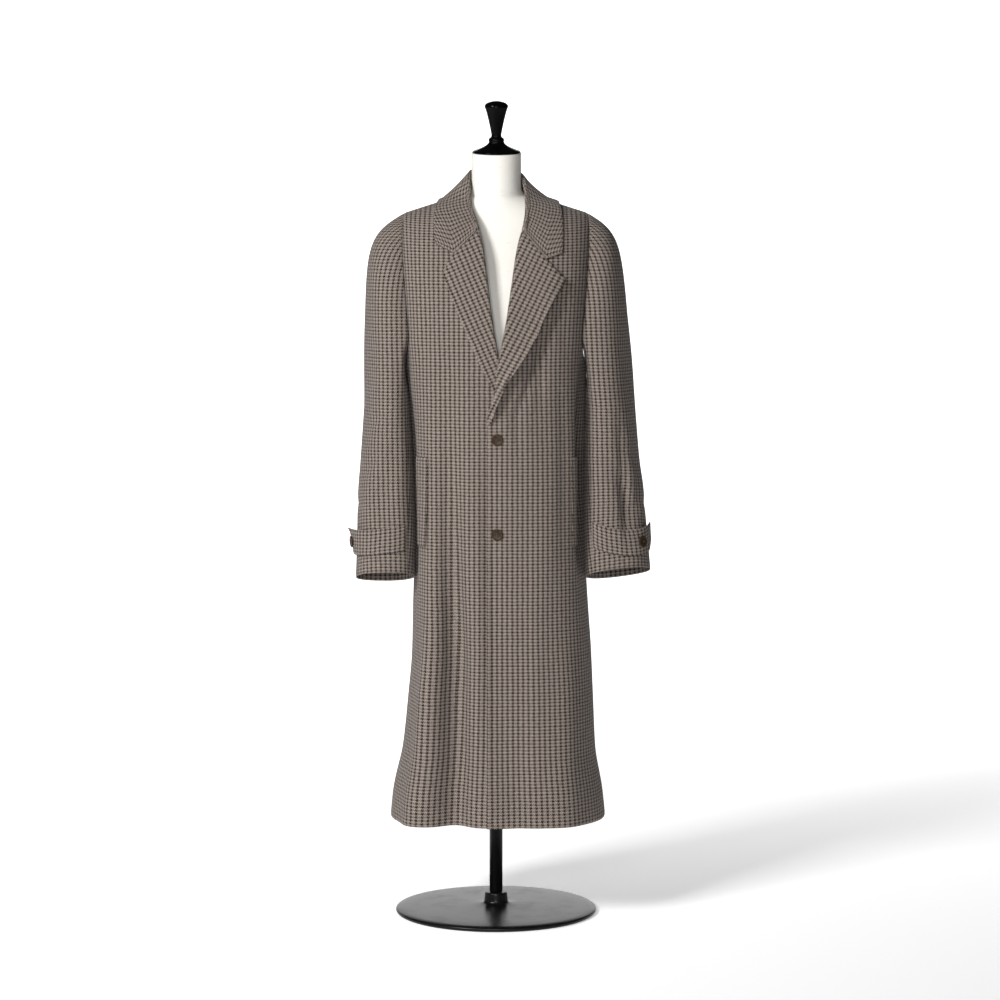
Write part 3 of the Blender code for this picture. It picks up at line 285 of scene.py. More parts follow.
canvas = Finish("cream_canvas", sheen_weight=0.15, sheen_roughness=0.5)
THREADS = 1150.0                 # of the canvas, in a metre
across = canvas.place.scaled(THREADS, THREADS, 0.0).noise(1.0, 1.0)
down = canvas.place.scaled(0.0, 0.0, THREADS).noise(1.0, 1.0)
soiling = canvas.place.noise(9.0, 4.0, 0.6)
slub = canvas.place.scaled(60.0, 60.0, 900.0).noise(1.0, 2.0)
ground = soiling.mix((0.66, 0.635, 0.58, 1), (0.71, 0.69, 0.645, 1))
canvas.feed("Base Color", slub.between(0.62, 0.78).mix(ground, (0.60, 0.575, 0.52, 1)))
canvas.feed("Roughness", 0.76 + 0.12 * slub)
canvas.bump(across * down + 0.3 * slub, 0.35, 0.0005)
form.data.materials.append(canvas.material)
stands_for(form, "form_torso")


# The knob on the neck: turned wood, a wide cap and a tapered handle, sprayed in gloss black lacquer.
# It is screwed down on the slanted neck, so it leans with it.
FINIAL = ((0.0440, 0.0), (0.0456, 0.0003), (0.0462, 0.0014), (0.0456, 0.0034), (0.0420, 0.0050),
          (0.0345, 0.0074), (0.0220, 0.0124), (0.0150, 0.0180), (0.0141, 0.0208), (0.0148, 0.0232),
          (0.0149, 0.0252), (0.0142, 0.0274), (0.0100, 0.0296), (0.0094, 0.0318), (0.0094, 0.0350),
          (0.0130, 0.0530), (0.0185, 0.0760), (0.0212, 0.0835), (0.0226, 0.0866), (0.0224, 0.0900),
          (0.0175, 0.0943), (0.0090, 0.0967), (0.0020, 0.0974))
KNOB_SIDES, KNOB_GAP = 48, 0.0003
lacquer = Finish("black_lacquer", coat_weight=0.10, coat_roughness=0.04, specular_ior_level=0.03)
dust = lacquer.place.noise(90.0, 4.0, 0.7).between(0.58, 0.75)
lacquer.feed("Base Color", dust.mix((0.0012, 0.0012, 0.0014, 1), (0.004, 0.004, 0.004, 1)))
lacquer.feed("Roughness", 0.10 + 0.12 * dust)
lacquer.bump(lacquer.place.noise(60.0, 2.0), 0.04, 0.0006)
knob = turned_piece("knob", FINIAL, KNOB_SIDES, lacquer)
bpy.ops.object.mode_set(mode="EDIT")
bpy.ops.mesh.select_all(action="SELECT")
work = bmesh.from_edit_mesh(knob.data)
bmesh.ops.rotate(work, verts=work.verts, cent=(0, 0, 0), matrix=Matrix.Rotation(NECK_LEAN, 3, "X"))
bmesh.ops.translate(work, verts=work.verts, vec=(FORM_SHIFT, 0.0, FORM[-1].height + KNOB_GAP))
bmesh.update_edit_mesh(knob.data)
bpy.ops.object.mode_set(mode="OBJECT")
stands_for(knob, "form_finial")


# The coat's body: two fronts and two backs of wool tweed in a small woven check, sewn at the sides,
# the shoulders and the centre back. The left front laps over the right one and hangs from the shoulders.
HEM, UNDERARM, CHEST, CORNER = 0.192, 1.045, 1.10, math.radians(63)
SHOULDER_POINT, NECK_POINT, BACK_NECK = (0.171, 0.003, 1.336), (0.066, 0.008, 1.370), (0.0, 0.068, 1.376)
NECK_SHARE = NECK_POINT[0] / SHOULDER_POINT[0]
ARMHOLE_BOW, SEAM, CLOTH, DOUBLED = 0.008, 0.0003, 0.002, 0.0026
RIGHT, LEFT = -1, 1
SIDES = {RIGHT: "right", LEFT: "left"}

BodyRing = namedtuple("BodyRing", "height right left front back squareness")
BODY = [BodyRing(*row) for row in (
    (HEM, 0.2015, 0.2085, 0.172, 0.178, 2.6), (0.240, 0.1965, 0.2035, 0.169, 0.174, 2.6),
    (0.325, 0.1780, 0.1895, 0.163, 0.168, 2.7), (0.416, 0.1680, 0.1853, 0.158, 0.162, 2.8),
    (0.510, 0.1600, 0.1810, 0.155, 0.156, 2.9), (0.600, 0.1580, 0.1753, 0.153, 0.152, 3.0),
    (0.720, 0.1550, 0.1710, 0.151, 0.148, 3.0), (0.850, 0.1570, 0.1730, 0.150, 0.144, 3.0),
    (0.970, 0.1630, 0.1720, 0.149, 0.141, 2.8),
    (UNDERARM, 0.1700, 0.1720, 0.148, 0.139, 2.75), (CHEST, 0.1760, 0.1740, 0.146, 0.137, 2.9),
)]
FrontEdge = namedtuple("FrontEdge", "height right left")
FRONT_EDGE = [FrontEdge(*row) for row in (
    (HEM, -0.0240, -0.0166), (0.930, -0.0240, -0.0166),
    (0.965, -0.0188, -0.0100), (1.000, -0.0125, 0.0018),
    (1.060, -0.0020, 0.0090), (1.120, 0.0085, 0.0213),
    (1.193, 0.0185, 0.0325), (1.266, 0.0275, 0.0436),
    (1.315, 0.0385, 0.0560), (1.350, 0.0545, 0.0620),
    (NECK_POINT[2], NECK_POINT[0], NECK_POINT[0]),
)]
Lap = namedtuple("Lap", "height lift")
LAP = (Lap(HEM, 0.0045), Lap(0.850, 0.0045), Lap(0.930, 0.0075), Lap(1.000, 0.0115), Lap(1.080, 0.0115),
       Lap(1.150, 0.0060), Lap(1.250, 0.0))
LAP_FULL, LAP_END = 0.020, 0.095
FRONT_ROUND, BACK_ROUND = (2.0, 0.3), (2.1, 0.2)   # how square the climb to the shoulder is, and its growth
UPPER_END = 1.05                 # columns from here on stay under the armhole

# Soft folds of the skirt: where each begins, is deepest and fades out, and the way round the body
Fold = namedtuple("Fold", "side start full end start_angle full_angle depth spread")
FOLDS = [Fold(*row) for row in (
    (RIGHT, 1.08, 0.20, -1.0, 25, 17, -0.031, 9), (RIGHT, 0.85, 0.20, -1.0, 43, 44, 0.017, 12),
    (RIGHT, 1.09, 0.80, 0.40, 77, 76, -0.010, 7), (RIGHT, 0.78, 0.20, -1.0, -10, -7, -0.009, 6),
    (RIGHT, 0.75, 0.20, -1.0, 112, 116, -0.012, 10), (RIGHT, 0.70, 0.20, -1.0, 136, 138, 0.012, 11),
    (RIGHT, 0.85, 0.20, -1.0, 158, 161, -0.012, 9), (LEFT, 0.78, 0.20, -1.0, 10, 7, -0.009, 6),
    (LEFT, 0.60, 0.20, -1.0, 32, 34, 0.008, 12), (LEFT, 1.12, 0.86, 0.53, 71, 72, -0.031, 12),
    (LEFT, 0.70, 0.20, -1.0, 114, 119, -0.011, 10), (LEFT, 0.75, 0.20, -1.0, 140, 143, 0.013, 12),
    (LEFT, 0.60, 0.20, -1.0, 164, 166, -0.008, 8),
)]

# Creases and swells laid over the panels: each runs from one place to another, along the cloth
# from the centre line and up from the floor, and fades at its ends
Crease = namedtuple("Crease", "panel u0 v0 u1 v1 depth width bow")
BODY_CREASES = [Crease(*row) for row in (
    ("right_front", 0.045, 0.985, 0.120, 1.085, -0.0022, 0.012, 0.006),
    ("right_front", 0.105, 0.60, 0.088, 0.92, -0.0030, 0.020, 0.010),
    ("right_front", 0.060, 0.56, 0.050, 0.90, 0.0022, 0.024, -0.006),
    ("right_front", 0.135, 0.30, 0.128, 0.62, 0.0030, 0.024, 0.006),
    ("right_front", 0.150, 1.02, 0.128, 1.23, -0.0030, 0.014, -0.008),
    ("right_front", 0.110, 1.10, 0.100, 1.28, 0.0016, 0.022, 0.004),
    ("left_front", 0.060, 0.98, 0.128, 1.075, -0.0020, 0.012, -0.006),
    ("left_front", 0.092, 0.52, 0.082, 0.92, 0.0024, 0.026, 0.008),
    ("left_front", 0.050, 0.60, 0.058, 0.88, -0.0018, 0.020, 0.006),
    ("left_front", 0.128, 0.64, 0.126, 1.08, -0.0034, 0.013, 0.004),
    ("left_front", 0.142, 1.04, 0.124, 1.25, -0.0026, 0.013, -0.006),
    ("left_front", 0.150, 0.24, 0.140, 0.56, 0.0030, 0.022, -0.008),
    ("left_front", -0.0150, 0.08, -0.0150, 0.97, 0.0024, 0.0045, 0.0),
    ("left_front", -0.0045, 0.08, -0.0045, 0.95, -0.0024, 0.0065, 0.0),
    ("left_front", 0.022, 0.92, 0.144, 1.21, -0.0060, 0.009, 0.0),
    ("left_front", 0.014, 0.05, 0.012, 0.72, -0.0040, 0.016, 0.0),
    ("left_front", 0.066, 0.20, 0.062, 0.95, 0.0032, 0.024, 0.004),
    ("left_front", 0.082, 0.95, 0.078, 1.15, -0.0034, 0.010, 0.004),
    ("left_front", 0.040, 0.85, 0.036, 1.00, -0.0028, 0.010, 0.003),
    ("right_front", 0.078, 0.02, 0.090, 1.22, -0.0100, 0.024, 0.003),
    ("right_front", 0.124, 0.02, 0.120, 0.85, 0.0050, 0.020, 0.004),
    ("right_front", 0.0185, 0.08, 0.0185, 0.96, -0.0045, 0.0065, 0.0),
    ("right_back", 0.030, 0.90, 0.110, 1.06, -0.0028, 0.016, 0.010),
    ("right_back", 0.070, 0.62, 0.060, 0.92, -0.0026, 0.024, 0.008),
    ("right_back", 0.120, 1.04, 0.090, 1.26, -0.0026, 0.018, -0.010),
    ("left_back", 0.036, 0.88, 0.116, 1.04, -0.0024, 0.016, -0.008),
    ("left_back", 0.082, 0.60, 0.070, 0.90, -0.0030, 0.022, -0.008),
    ("left_back", 0.118, 1.06, 0.086, 1.25, -0.0028, 0.018, 0.010),
)]


@lru_cache(maxsize=None)
def body_ring(side, height):
    half = column_at(BODY, SIDES[side], height)
    return (half, *[column_at(BODY, name, height) for name in ("front", "back", "squareness")])


@lru_cache(maxsize=None)
def front_edge(side, height):
    return column_at(FRONT_EDGE, SIDES[side], height)


@lru_cache(maxsize=None)
def lap_height(height):
    return column_at(LAP, "lift", height)


def unit(vector):
    return vector / np.linalg.norm(vector)


def fold_depth(folds, side, angle, height):
    """How far the folds push the cloth out at an angle and a height."""
    total = 0.0
    for fold in folds:
        if fold.side == side:
            share = ease((fold.start - height) / (fold.start - fold.full))
            fade = ease((height - fold.end) / (fold.full - fold.end)) if height < fold.full else 1.0
            middle = fold.start_angle + (fold.full_angle - fold.start_angle) * share
            away = (math.degrees(angle) - middle + 180) % 360 - 180
            total += fold.depth * share * fade * math.exp(-(away / fold.spread) ** 2)
    return total


def ring_point(side, angle, height):
    """A point of the coat's outside, by its angle from the centre front round to the centre back."""
    half, front, back, squareness = body_ring(side, height)
    across = signed_power(math.sin(angle), 2 / squareness)
    along = signed_power(math.cos(angle), 2 / squareness)
    depth = front if along >= 0 else back
    out = unit(np.array([signed_power(across, squareness - 1) / half,
                         -signed_power(along, squareness - 1) / depth]))
    push = fold_depth(FOLDS, side, angle, height)
    return np.array([side * (half * across + push * out[0]), -depth * along + push * out[1], height])


def lap_lift(side, out, height):
    """How far the lapped left front stands in front of the ring."""
    fade = 1 - ease((out - LAP_FULL) / (LAP_END - LAP_FULL))
    return lap_height(height) * fade if side == LEFT else 0.0


def armhole_height(column):
    """Top of the body's lower rows: level to the armhole's corner, then down to the underarm."""
    below = min(max(column - 1, 0.0), 1.0)
    return UNDERARM + (CHEST - UNDERARM) * (1 - math.sin(below * math.pi / 2))


def low_angle(side, column, height, start, depth_place):
    """The angle round the body of a column of a panel below the chest line."""
    ring = body_ring(side, height)
    half, squareness = ring[0], ring[3]
    if column > 1:
        last = math.acos((SEAM / 2 / ring[depth_place]) ** (squareness / 2))
        return CORNER + (last - CORNER) * (column - 1)
    corner = half * math.sin(CORNER) ** (2 / squareness)
    out = start + (corner - start) * column
    return math.copysign(math.asin(min(abs(out) / half, 1) ** (squareness / 2)), out)


def front_low(side, column, height):
    point = ring_point(side, low_angle(side, column, height, front_edge(side, height), 1), height)
    point[1] -= lap_lift(side, side * point[0] if column <= 1 else LAP_END, height)
    return point


def shoulder_seam(share):
    return np.array(NECK_POINT) + (np.array(SHOULDER_POINT) - np.array(NECK_POINT)) * share


def front_at(side, column, rise):
    """A front: rise runs 0 to 1 from the hem to the chest line, and 1 to 2 up to the shoulder."""
    if rise <= 1 or column > UPPER_END:
        return front_low(side, column, HEM + (armhole_height(column) - HEM) * rise)
    climb, turn = rise - 1, (rise - 1) * math.pi / 2
    exponent = 2 / (FRONT_ROUND[0] + FRONT_ROUND[1] * column)
    low = front_low(side, min(column, 1.0), CHEST)
    low[1] += lap_lift(side, side * low[0], CHEST)
    top = shoulder_seam(column)
    top[1] -= SEAM / 2
    y = top[1] + (low[1] - top[1]) * signed_power(math.cos(turn), exponent)
    z = low[2] + (top[2] - low[2]) * signed_power(math.sin(turn), exponent)
    edge = front_edge(side, CHEST + (NECK_POINT[2] - CHEST) * math.sin(turn))
    half, _, _, squareness = body_ring(side, CHEST)
    corner = half * math.sin(CORNER) ** (2 / squareness)
    armhole = corner + (SHOULDER_POINT[0] - corner) * climb + ARMHOLE_BOW * math.sin(math.pi * climb)
    out = edge + (armhole - edge) * column
    return np.array([side * out, y - lap_lift(side, out, z), z])


def back_low(side, column, height):
    return ring_point(side, math.pi - low_angle(side, column, height, SEAM / 2, 2), height)


def back_top(column):
    """The back's top edge: the back neck, then the shoulder seam."""
    if column >= NECK_SHARE:
        point = shoulder_seam((column - NECK_SHARE) / (1 - NECK_SHARE))
        point[1] += SEAM / 2
        return point
    turn = column / NECK_SHARE * math.pi / 2
    return np.array([NECK_POINT[0] * math.sin(turn) + SEAM / 2 * math.cos(turn),
                     NECK_POINT[1] + SEAM / 2 + (BACK_NECK[1] - NECK_POINT[1]) * math.cos(turn),
                     NECK_POINT[2] + (BACK_NECK[2] - NECK_POINT[2]) * math.cos(turn)])


def back_at(side, column, rise):
    """A back: columns run from the centre seam to the side, rise as on the front."""
    if rise <= 1 or column > UPPER_END:
        return back_low(side, column, HEM + (armhole_height(column) - HEM) * rise)
    climb, turn = rise - 1, (rise - 1) * math.pi / 2
    exponent = 2 / (BACK_ROUND[0] + BACK_ROUND[1] * column)
    low, top = back_low(side, min(column, 1.0), CHEST), back_top(column)
    y = top[1] + (low[1] - top[1]) * signed_power(math.cos(turn), exponent)
    z = low[2] + (top[2] - low[2]) * signed_power(math.sin(turn), exponent)
    out = side * low[0]
    out += (top[0] - out) * climb + ARMHOLE_BOW * column * column * math.sin(math.pi * climb)
    return np.array([side * out, y, z])


CREASE_FADE = 1.2                # how soon a crease fades towards its ends
EDGE_TAPER, EDGE_ROUND = 0.28, 0.2   # how far an edge is drawn in and rounded out, in shares of the thickness


class Sheet:
    """One face of a piece of cloth: points, their places on the flat cut, and the quads between them."""

    def __init__(self, outwards):
        self.points, self.cut, self.quads, self.edge = [], [], [], []
        self.outwards = outwards

    def row(self, points, cut):
        first = len(self.points)
        self.points += [np.array(p) for p in points]
        self.cut += [tuple(c) for c in cut]
        return list(range(first, len(self.points)))

    def join(self, rows):
        for low, high in zip(rows, rows[1:]):
            self.quads += zip(low, low[1:], high[1:], high)

    def normals(self):
        """The way the cloth faces at each point; the quads are turned to face the same way."""
        points, quads = np.array(self.points), np.array(self.quads)
        a, b, c, d = [points[quads[:, i]] for i in range(4)]
        facing = np.cross(c - a, d - b)
        if (facing * self.outwards((a + c) / 2)).sum() < 0:
            self.quads, facing = [quad[::-1] for quad in self.quads], -facing
        total = np.zeros_like(points)
        for i in range(4):
            np.add.at(total, quads[:, i], facing)
        return total / np.linalg.norm(total, axis=1, keepdims=True)

    def crease(self, creases):
        """Pushes the creases into the cloth."""
        cut = np.array(self.cut)
        push = np.zeros(len(cut))
        for crease in creases:
            start, run = np.array(crease[1:3]), np.array(crease[3:5]) - np.array(crease[1:3])
            length = np.linalg.norm(run)
            along = (cut - start) @ run / length ** 2
            aside = ((cut[:, 0] - start[0]) * run[1] - (cut[:, 1] - start[1]) * run[0]) / length
            share = np.clip(along, 0, 1)
            aside = aside - crease.bow * np.sin(np.pi * share)
            fade = np.sin(np.pi * share) ** CREASE_FADE
            push += crease.depth * fade * np.exp(-(aside / crease.width) ** 2)
        self.points = list(np.array(self.points) + self.normals() * push[:, None])

    def tree(self):
        self.normals()
        return BVHTree.FromPolygons([Vector(p) for p in self.points], self.quads)


def sewn(name, sheet, thickness, finish):
    """The cloth as a thin wall with soft edges and its cut as a UV map, for the CAD node of its name."""
    normals, points, count = sheet.normals(), np.array(sheet.points), len(sheet.points)
    edges = {}
    for quad in sheet.quads:
        for a, b in zip(quad, quad[1:] + quad[:1]):
            edges[(a, b)] = quad
    rim = [(a, b) for a, b in edges if (b, a) not in edges]
    beyond = np.zeros_like(points)
    for a, b in rim:
        out = (points[a] + points[b]) / 2 - points[list(edges[(a, b)])].mean(axis=0)
        way = unit(points[b] - points[a])
        out = unit(out - way * (out @ way))
        beyond[a] += out
        beyond[b] += out
    rim_points = sorted({a for edge in rim for a in edge})
    outer, inner = points.copy(), points - normals * thickness
    outer[rim_points] -= normals[rim_points] * thickness * EDGE_TAPER
    inner[rim_points] += normals[rim_points] * thickness * EDGE_TAPER
    turn = points[rim_points] - normals[rim_points] * thickness / 2
    turn += np.array([unit(beyond[i]) for i in rim_points]) * thickness * EDGE_ROUND
    middle = {a: 2 * count + i for i, a in enumerate(rim_points)}
    faces = list(sheet.quads) + [tuple(i + count for i in quad[::-1]) for quad in sheet.quads]
    for a, b in rim:
        faces += [(b, a, middle[a], middle[b]), (middle[b], middle[a], a + count, b + count)]
    mesh = bpy.data.meshes.new(name)
    mesh.from_pydata(np.vstack((outer, inner, turn)).tolist(), [], faces)
    places = np.array(sheet.cut + sheet.cut + [sheet.cut[a] for a in rim_points])
    corners = np.zeros(len(mesh.loops), dtype=np.int32)
    mesh.loops.foreach_get("vertex_index", corners)
    mesh.uv_layers.new(name="cut").data.foreach_set("uv", places[corners].ravel())
    mesh.shade_smooth()
    mesh.materials.append(finish.material)
    piece = bpy.data.objects.new(name + "_cloth", mesh)
    bpy.context.scene.collection.objects.link(piece)
    stands_for(piece, name)
    cut = np.array(sheet.cut)
    a, b, c, d = [cut[np.array(sheet.quads)[:, i]] for i in range(4)]
    area = np.abs((c - a)[:, 0] * (d - b)[:, 1] - (c - a)[:, 1] * (d - b)[:, 0]).sum() / 2


LOW_ROWS, UP_ROWS = 150, 54
FRONT_COLUMNS, BACK_COLUMNS, SIDE_COLUMNS = 48, 40, 14
GRAIN_LEVEL = 0.62               # below this the skirt flares, and the grain spreads with it
GRAIN_SPREAD, SPREAD_RUN = 0.65, 0.18


def creases_of(table, panel):
    return [crease for crease in table if crease.panel == panel]


def level_outwards(points):
    return points * np.array([1.0, 1.0, 0.0])


def panel_sheet(surface, side, columns, creases):
    """A front or a back, with its place on the cut measured along the cloth from the centre line."""
    places = [i / columns for i in range(columns + 1)]
    sides = [1 + (i + 1) / SIDE_COLUMNS for i in range(SIDE_COLUMNS)]
    sheet = Sheet(level_outwards)

    def measured(points):
        """Places across the cut for one row."""
        steps = [np.linalg.norm(b - a) for a, b in zip(points, points[1:])]
        start = side * points[0][0] if surface is front_at else 0.0
        return start + np.concatenate(([0.0], np.cumsum(steps)))

    level = [surface(side, c, (GRAIN_LEVEL - HEM) / (armhole_height(c) - HEM)) for c in places + sides]
    grain = measured(level)
    rows, last_cut = [], None
    for r in range(LOW_ROWS + 1):
        points = [surface(side, c, r / LOW_ROWS) for c in places + sides]
        across = measured(points)
        across += (grain - across) * GRAIN_SPREAD * ease((GRAIN_LEVEL - points[0][2]) / SPREAD_RUN)
        last_cut = [(u, p[2]) for u, p in zip(across, points)]
        rows.append(sheet.row(points, last_cut))
    upper = [rows[-1][:columns + 1]]
    before = [sheet.points[i] for i in upper[0]]
    lengths = np.array([c[1] for c in last_cut[:columns + 1]])
    for r in range(1, UP_ROWS + 1):
        points = [surface(side, c, 1 + r / UP_ROWS) for c in places]
        lengths = lengths + np.array([np.linalg.norm(p - q) for p, q in zip(points, before)])
        upper.append(sheet.row(points, zip(measured(points), lengths)))
        before = points
    sheet.join(rows)
    sheet.join(upper)
    sheet.edge = [row[0] for row in rows + upper[1:]]
    sheet.crease(creases)
    return sheet


tweed = Finish("checked_tweed", "UV", roughness=0.95, sheen_weight=0.08, sheen_roughness=0.45,
               specular_ior_level=0.15)
CHECK_ACROSS, CHECK_UP = 0.0095, 0.00633      # one repeat of the check
YARNS_ACROSS, YARNS_UP = 12, 8                # yarns in a repeat
DARK_ACROSS, DARK_UP = 5, 4                   # and the dark ones among them
WANDER = 0.0016                               # how far the yarns stray from their lines
stray = WANDER * (tweed.place.noise(45.0, 2.0) - 0.5)
cut_u, cut_v = [tweed.place.part(i) for i in (0, 1)]
warp = (cut_u + stray) / (CHECK_ACROSS / YARNS_ACROSS)
weft = (cut_v + stray) / (CHECK_UP / YARNS_UP)
warp_yarn, weft_yarn = warp.floor(), weft.floor()
warp_over = ((warp_yarn + weft_yarn) % 4.0) < 2.0
fleck = tweed.place.noise(1300.0, 3.0, 0.7)
slubs = warp_over * tweed.place.scaled(900.0, 130.0, 1.0).noise(1.0, 2.0)
slubs = slubs + (1 - warp_over) * tweed.place.scaled(130.0, 900.0, 1.0).noise(1.0, 2.0)
cloud = tweed.place.noise(22.0, 3.0)
tone = (0.5 * fleck + 0.5 * slubs).between(0.36, 0.64)
pale = tone.mix((0.115, 0.092, 0.078, 1), (0.33, 0.282, 0.25, 1))
deep = cloud.between(0.38, 0.62).mix((0.012, 0.006, 0.0055, 1), (0.0068, 0.0068, 0.0048, 1))
deep = tone.mix(deep, (0.025, 0.018, 0.015, 1))
umber = tone.mix((0.026, 0.016, 0.011, 1), (0.062, 0.044, 0.034, 1))
every_other = (weft_yarn / YARNS_UP).floor() % 2.0
warp_colour = ((warp_yarn % YARNS_ACROSS) < DARK_ACROSS).mix(pale, deep)
weft_colour = ((weft_yarn % YARNS_UP) < DARK_UP).mix(pale, every_other.mix(deep, umber))
tweed.feed("Base Color", warp_over.mix(weft_colour, warp_colour))
warp_share, weft_share = warp - warp_yarn, weft - weft_yarn
relief = warp_over * warp_share * (1 - warp_share) + (1 - warp_over) * weft_share * (1 - weft_share)
tweed.bump(3.0 * relief + 0.8 * slubs + 0.4 * fleck, 0.5, 0.0004)

fronts, trees = {}, {}
for side, word in SIDES.items():
    front, back = word + "_front", word + "_back"
    fronts[side] = panel_sheet(front_at, side, FRONT_COLUMNS, creases_of(BODY_CREASES, front))
    back_panel = panel_sheet(back_at, side, BACK_COLUMNS, creases_of(BODY_CREASES, back))
    sewn(front, fronts[side], CLOTH, tweed)
    sewn(back, back_panel, CLOTH, tweed)
    trees[side] = fronts[side].tree(), back_panel.tree()


# The sleeves: two-piece sleeves of the same tweed, an upper and an under piece each, sewn at two seams
# and eased into the armholes. They hang empty, so they fold softly at the elbow and the cuffs gape.
CAP_CORNER, BICEP, CUFF = math.radians(115), 0.97, 0.650
FRONT_SEAM, BACK_SEAM = math.radians(131.25), math.radians(245)
SLEEVE_SQUARENESS, SLEEVE_TURN = 2.3, 0.16
SleeveRing = namedtuple("SleeveRing", "height right_in right_out left_in left_out front back tilt"
                        " right_rise left_rise")
SLEEVES = [SleeveRing(*row) for row in (
    (CUFF, 0.1545, 0.2645, 0.1692, 0.2915, -0.098, 0.008, 0.26, 0.01, 0.13),
    (0.720, 0.1545, 0.2620, 0.1680, 0.2855, -0.096, 0.025, 0.20, 0.0, 0.09),
    (0.795, 0.1565, 0.2608, 0.1692, 0.2780, -0.094, 0.042, 0.13, 0.0, 0.03),
    (0.870, 0.1592, 0.2553, 0.1704, 0.2705, -0.091, 0.060, 0.06, 0.0, 0.0),
    (BICEP, 0.1658, 0.2480, 0.1738, 0.2620, -0.087, 0.076, 0.0, 0.0, 0.0),
)]
Head = namedtuple("Head", "fullness lean")
HEAD = {RIGHT: Head(0.088, 0.016), LEFT: Head(0.080, 0.095)}
HEAD_EASE, HEAD_CLIMB = 0.012, (0.035, 0.27)
HEAD_POWER, CLIMB_POWER = 1.5, 1.6   # how far fullness and climb gather towards the top
LEAVE_OUT, LEAVE_FORWARD, LEAVE_DOWN = (0.52, 0.35), 0.40, (0.85, 0.35)   # how the head leaves the armhole
LEAST_SLANT = 0.3                # keeps the gap at the armhole from growing where the two walls run alike
SLEEVE_FOLDS = [Fold(*row) for row in (
    (LEFT, 0.93, 0.77, 0.69, 100, 55, -0.009, 17), (LEFT, 0.90, 0.82, 0.72, 20, 10, 0.004, 22),
    (RIGHT, 0.95, 0.80, 0.68, 95, 78, -0.006, 18), (RIGHT, 0.90, 0.78, 0.66, 275, 262, -0.007, 20),
    (LEFT, 0.92, 0.80, 0.66, 270, 258, -0.007, 20),
)]
SLEEVE_CREASES = [Crease(*row) for row in (
    ("right_upper_sleeve", 0.010, 0.83, 0.085, 0.89, -0.0028, 0.012, 0.006),
    ("right_upper_sleeve", -0.045, 0.80, 0.050, 0.785, -0.0022, 0.011, 0.008),
    ("right_upper_sleeve", 0.020, 0.90, 0.100, 0.97, -0.0024, 0.014, -0.006),
    ("right_upper_sleeve", 0.035, 0.98, 0.060, 1.12, -0.0026, 0.016, 0.006),
    ("right_upper_sleeve", 0.000, 0.97, -0.010, 1.16, 0.0022, 0.022, 0.004),
    ("left_upper_sleeve", 0.010, 0.83, 0.080, 0.90, -0.0030, 0.012, -0.008),
    ("left_upper_sleeve", -0.040, 0.79, 0.055, 0.80, -0.0020, 0.012, 0.010),
    ("left_upper_sleeve", 0.060, 0.72, 0.036, 0.88, -0.0034, 0.013, -0.006),
    ("left_upper_sleeve", 0.040, 0.96, 0.062, 1.12, -0.0026, 0.016, -0.006),
    ("left_upper_sleeve", -0.004, 0.96, -0.014, 1.15, 0.0020, 0.022, -0.004),
    ("right_under_sleeve", -0.020, 0.78, 0.020, 0.90, -0.0020, 0.014, 0.005),
    ("left_under_sleeve", 0.020, 0.78, -0.020, 0.90, -0.0020, 0.014, 0.005),
    ("left_upper_sleeve", 0.072, 0.66, 0.084, 0.98, -0.0068, 0.010, -0.004),
    ("left_upper_sleeve", 0.050, 0.70, 0.062, 0.98, 0.0022, 0.012, -0.004),
    ("right_under_sleeve", 0.000, 0.90, 0.000, 1.14, 0.0040, 0.030, 0.0),
    ("right_under_sleeve", -0.012, 0.58, -0.012, 1.06, 0.0036, 0.022, 0.0),
    ("left_under_sleeve", 0.000, 0.90, 0.000, 1.14, 0.0030, 0.030, 0.0),
    ("left_under_sleeve", -0.012, 0.78, -0.012, 1.05, 0.0034, 0.022, 0.0),
)]


def panel_normal(surface, side, column, rise):
    """The outward direction of a front or back, from two short steps over its surface."""
    step = 0.004
    across = surface(side, column + step, rise) - surface(side, column - step, rise)
    upward = surface(side, column, rise + step) - surface(side, column, rise - step)
    return side * (1 if surface is front_at else -1) * unit(np.cross(across, upward))


def armhole_place(around):
    """The panel, column and rise of a point of the armhole, by its angle round the sleeve."""
    around = around % (2 * math.pi)
    surface, turn = (front_at, around) if around <= math.pi else (back_at, 2 * math.pi - around)
    if turn <= CAP_CORNER:
        return surface, 1.0, 2 - turn / CAP_CORNER
    return surface, 1 + (turn - CAP_CORNER) / (math.pi - CAP_CORNER), 1.0


def armhole_point(side, around):
    surface, column, rise = armhole_place(around)
    return surface(side, column, rise)


@lru_cache(maxsize=None)
def sleeve_level(side, height):
    names = [SIDES[side] + "_in", SIDES[side] + "_out", "front", "back", "tilt", SIDES[side] + "_rise"]
    return [column_at(SLEEVES, name, height) for name in names]


def sleeve_ring(side, around, height):
    """A point of the sleeve's tube, by its angle from the outer line towards the front."""
    inner, outer, front, back, tilt, rise = sleeve_level(side, height)
    across = signed_power(math.cos(around), 2 / SLEEVE_SQUARENESS)
    along = signed_power(math.sin(around), 2 / SLEEVE_SQUARENESS)
    push = fold_depth(SLEEVE_FOLDS, side, around % (2 * math.pi), height)
    half, deep = (outer - inner) / 2 + push, (back - front) / 2 + push
    y = -deep * along
    out = (inner + outer) / 2 + half * across + SLEEVE_TURN * y
    return np.array([side * out, (front + back) / 2 + y, height - tilt * y + rise * (out - inner)])


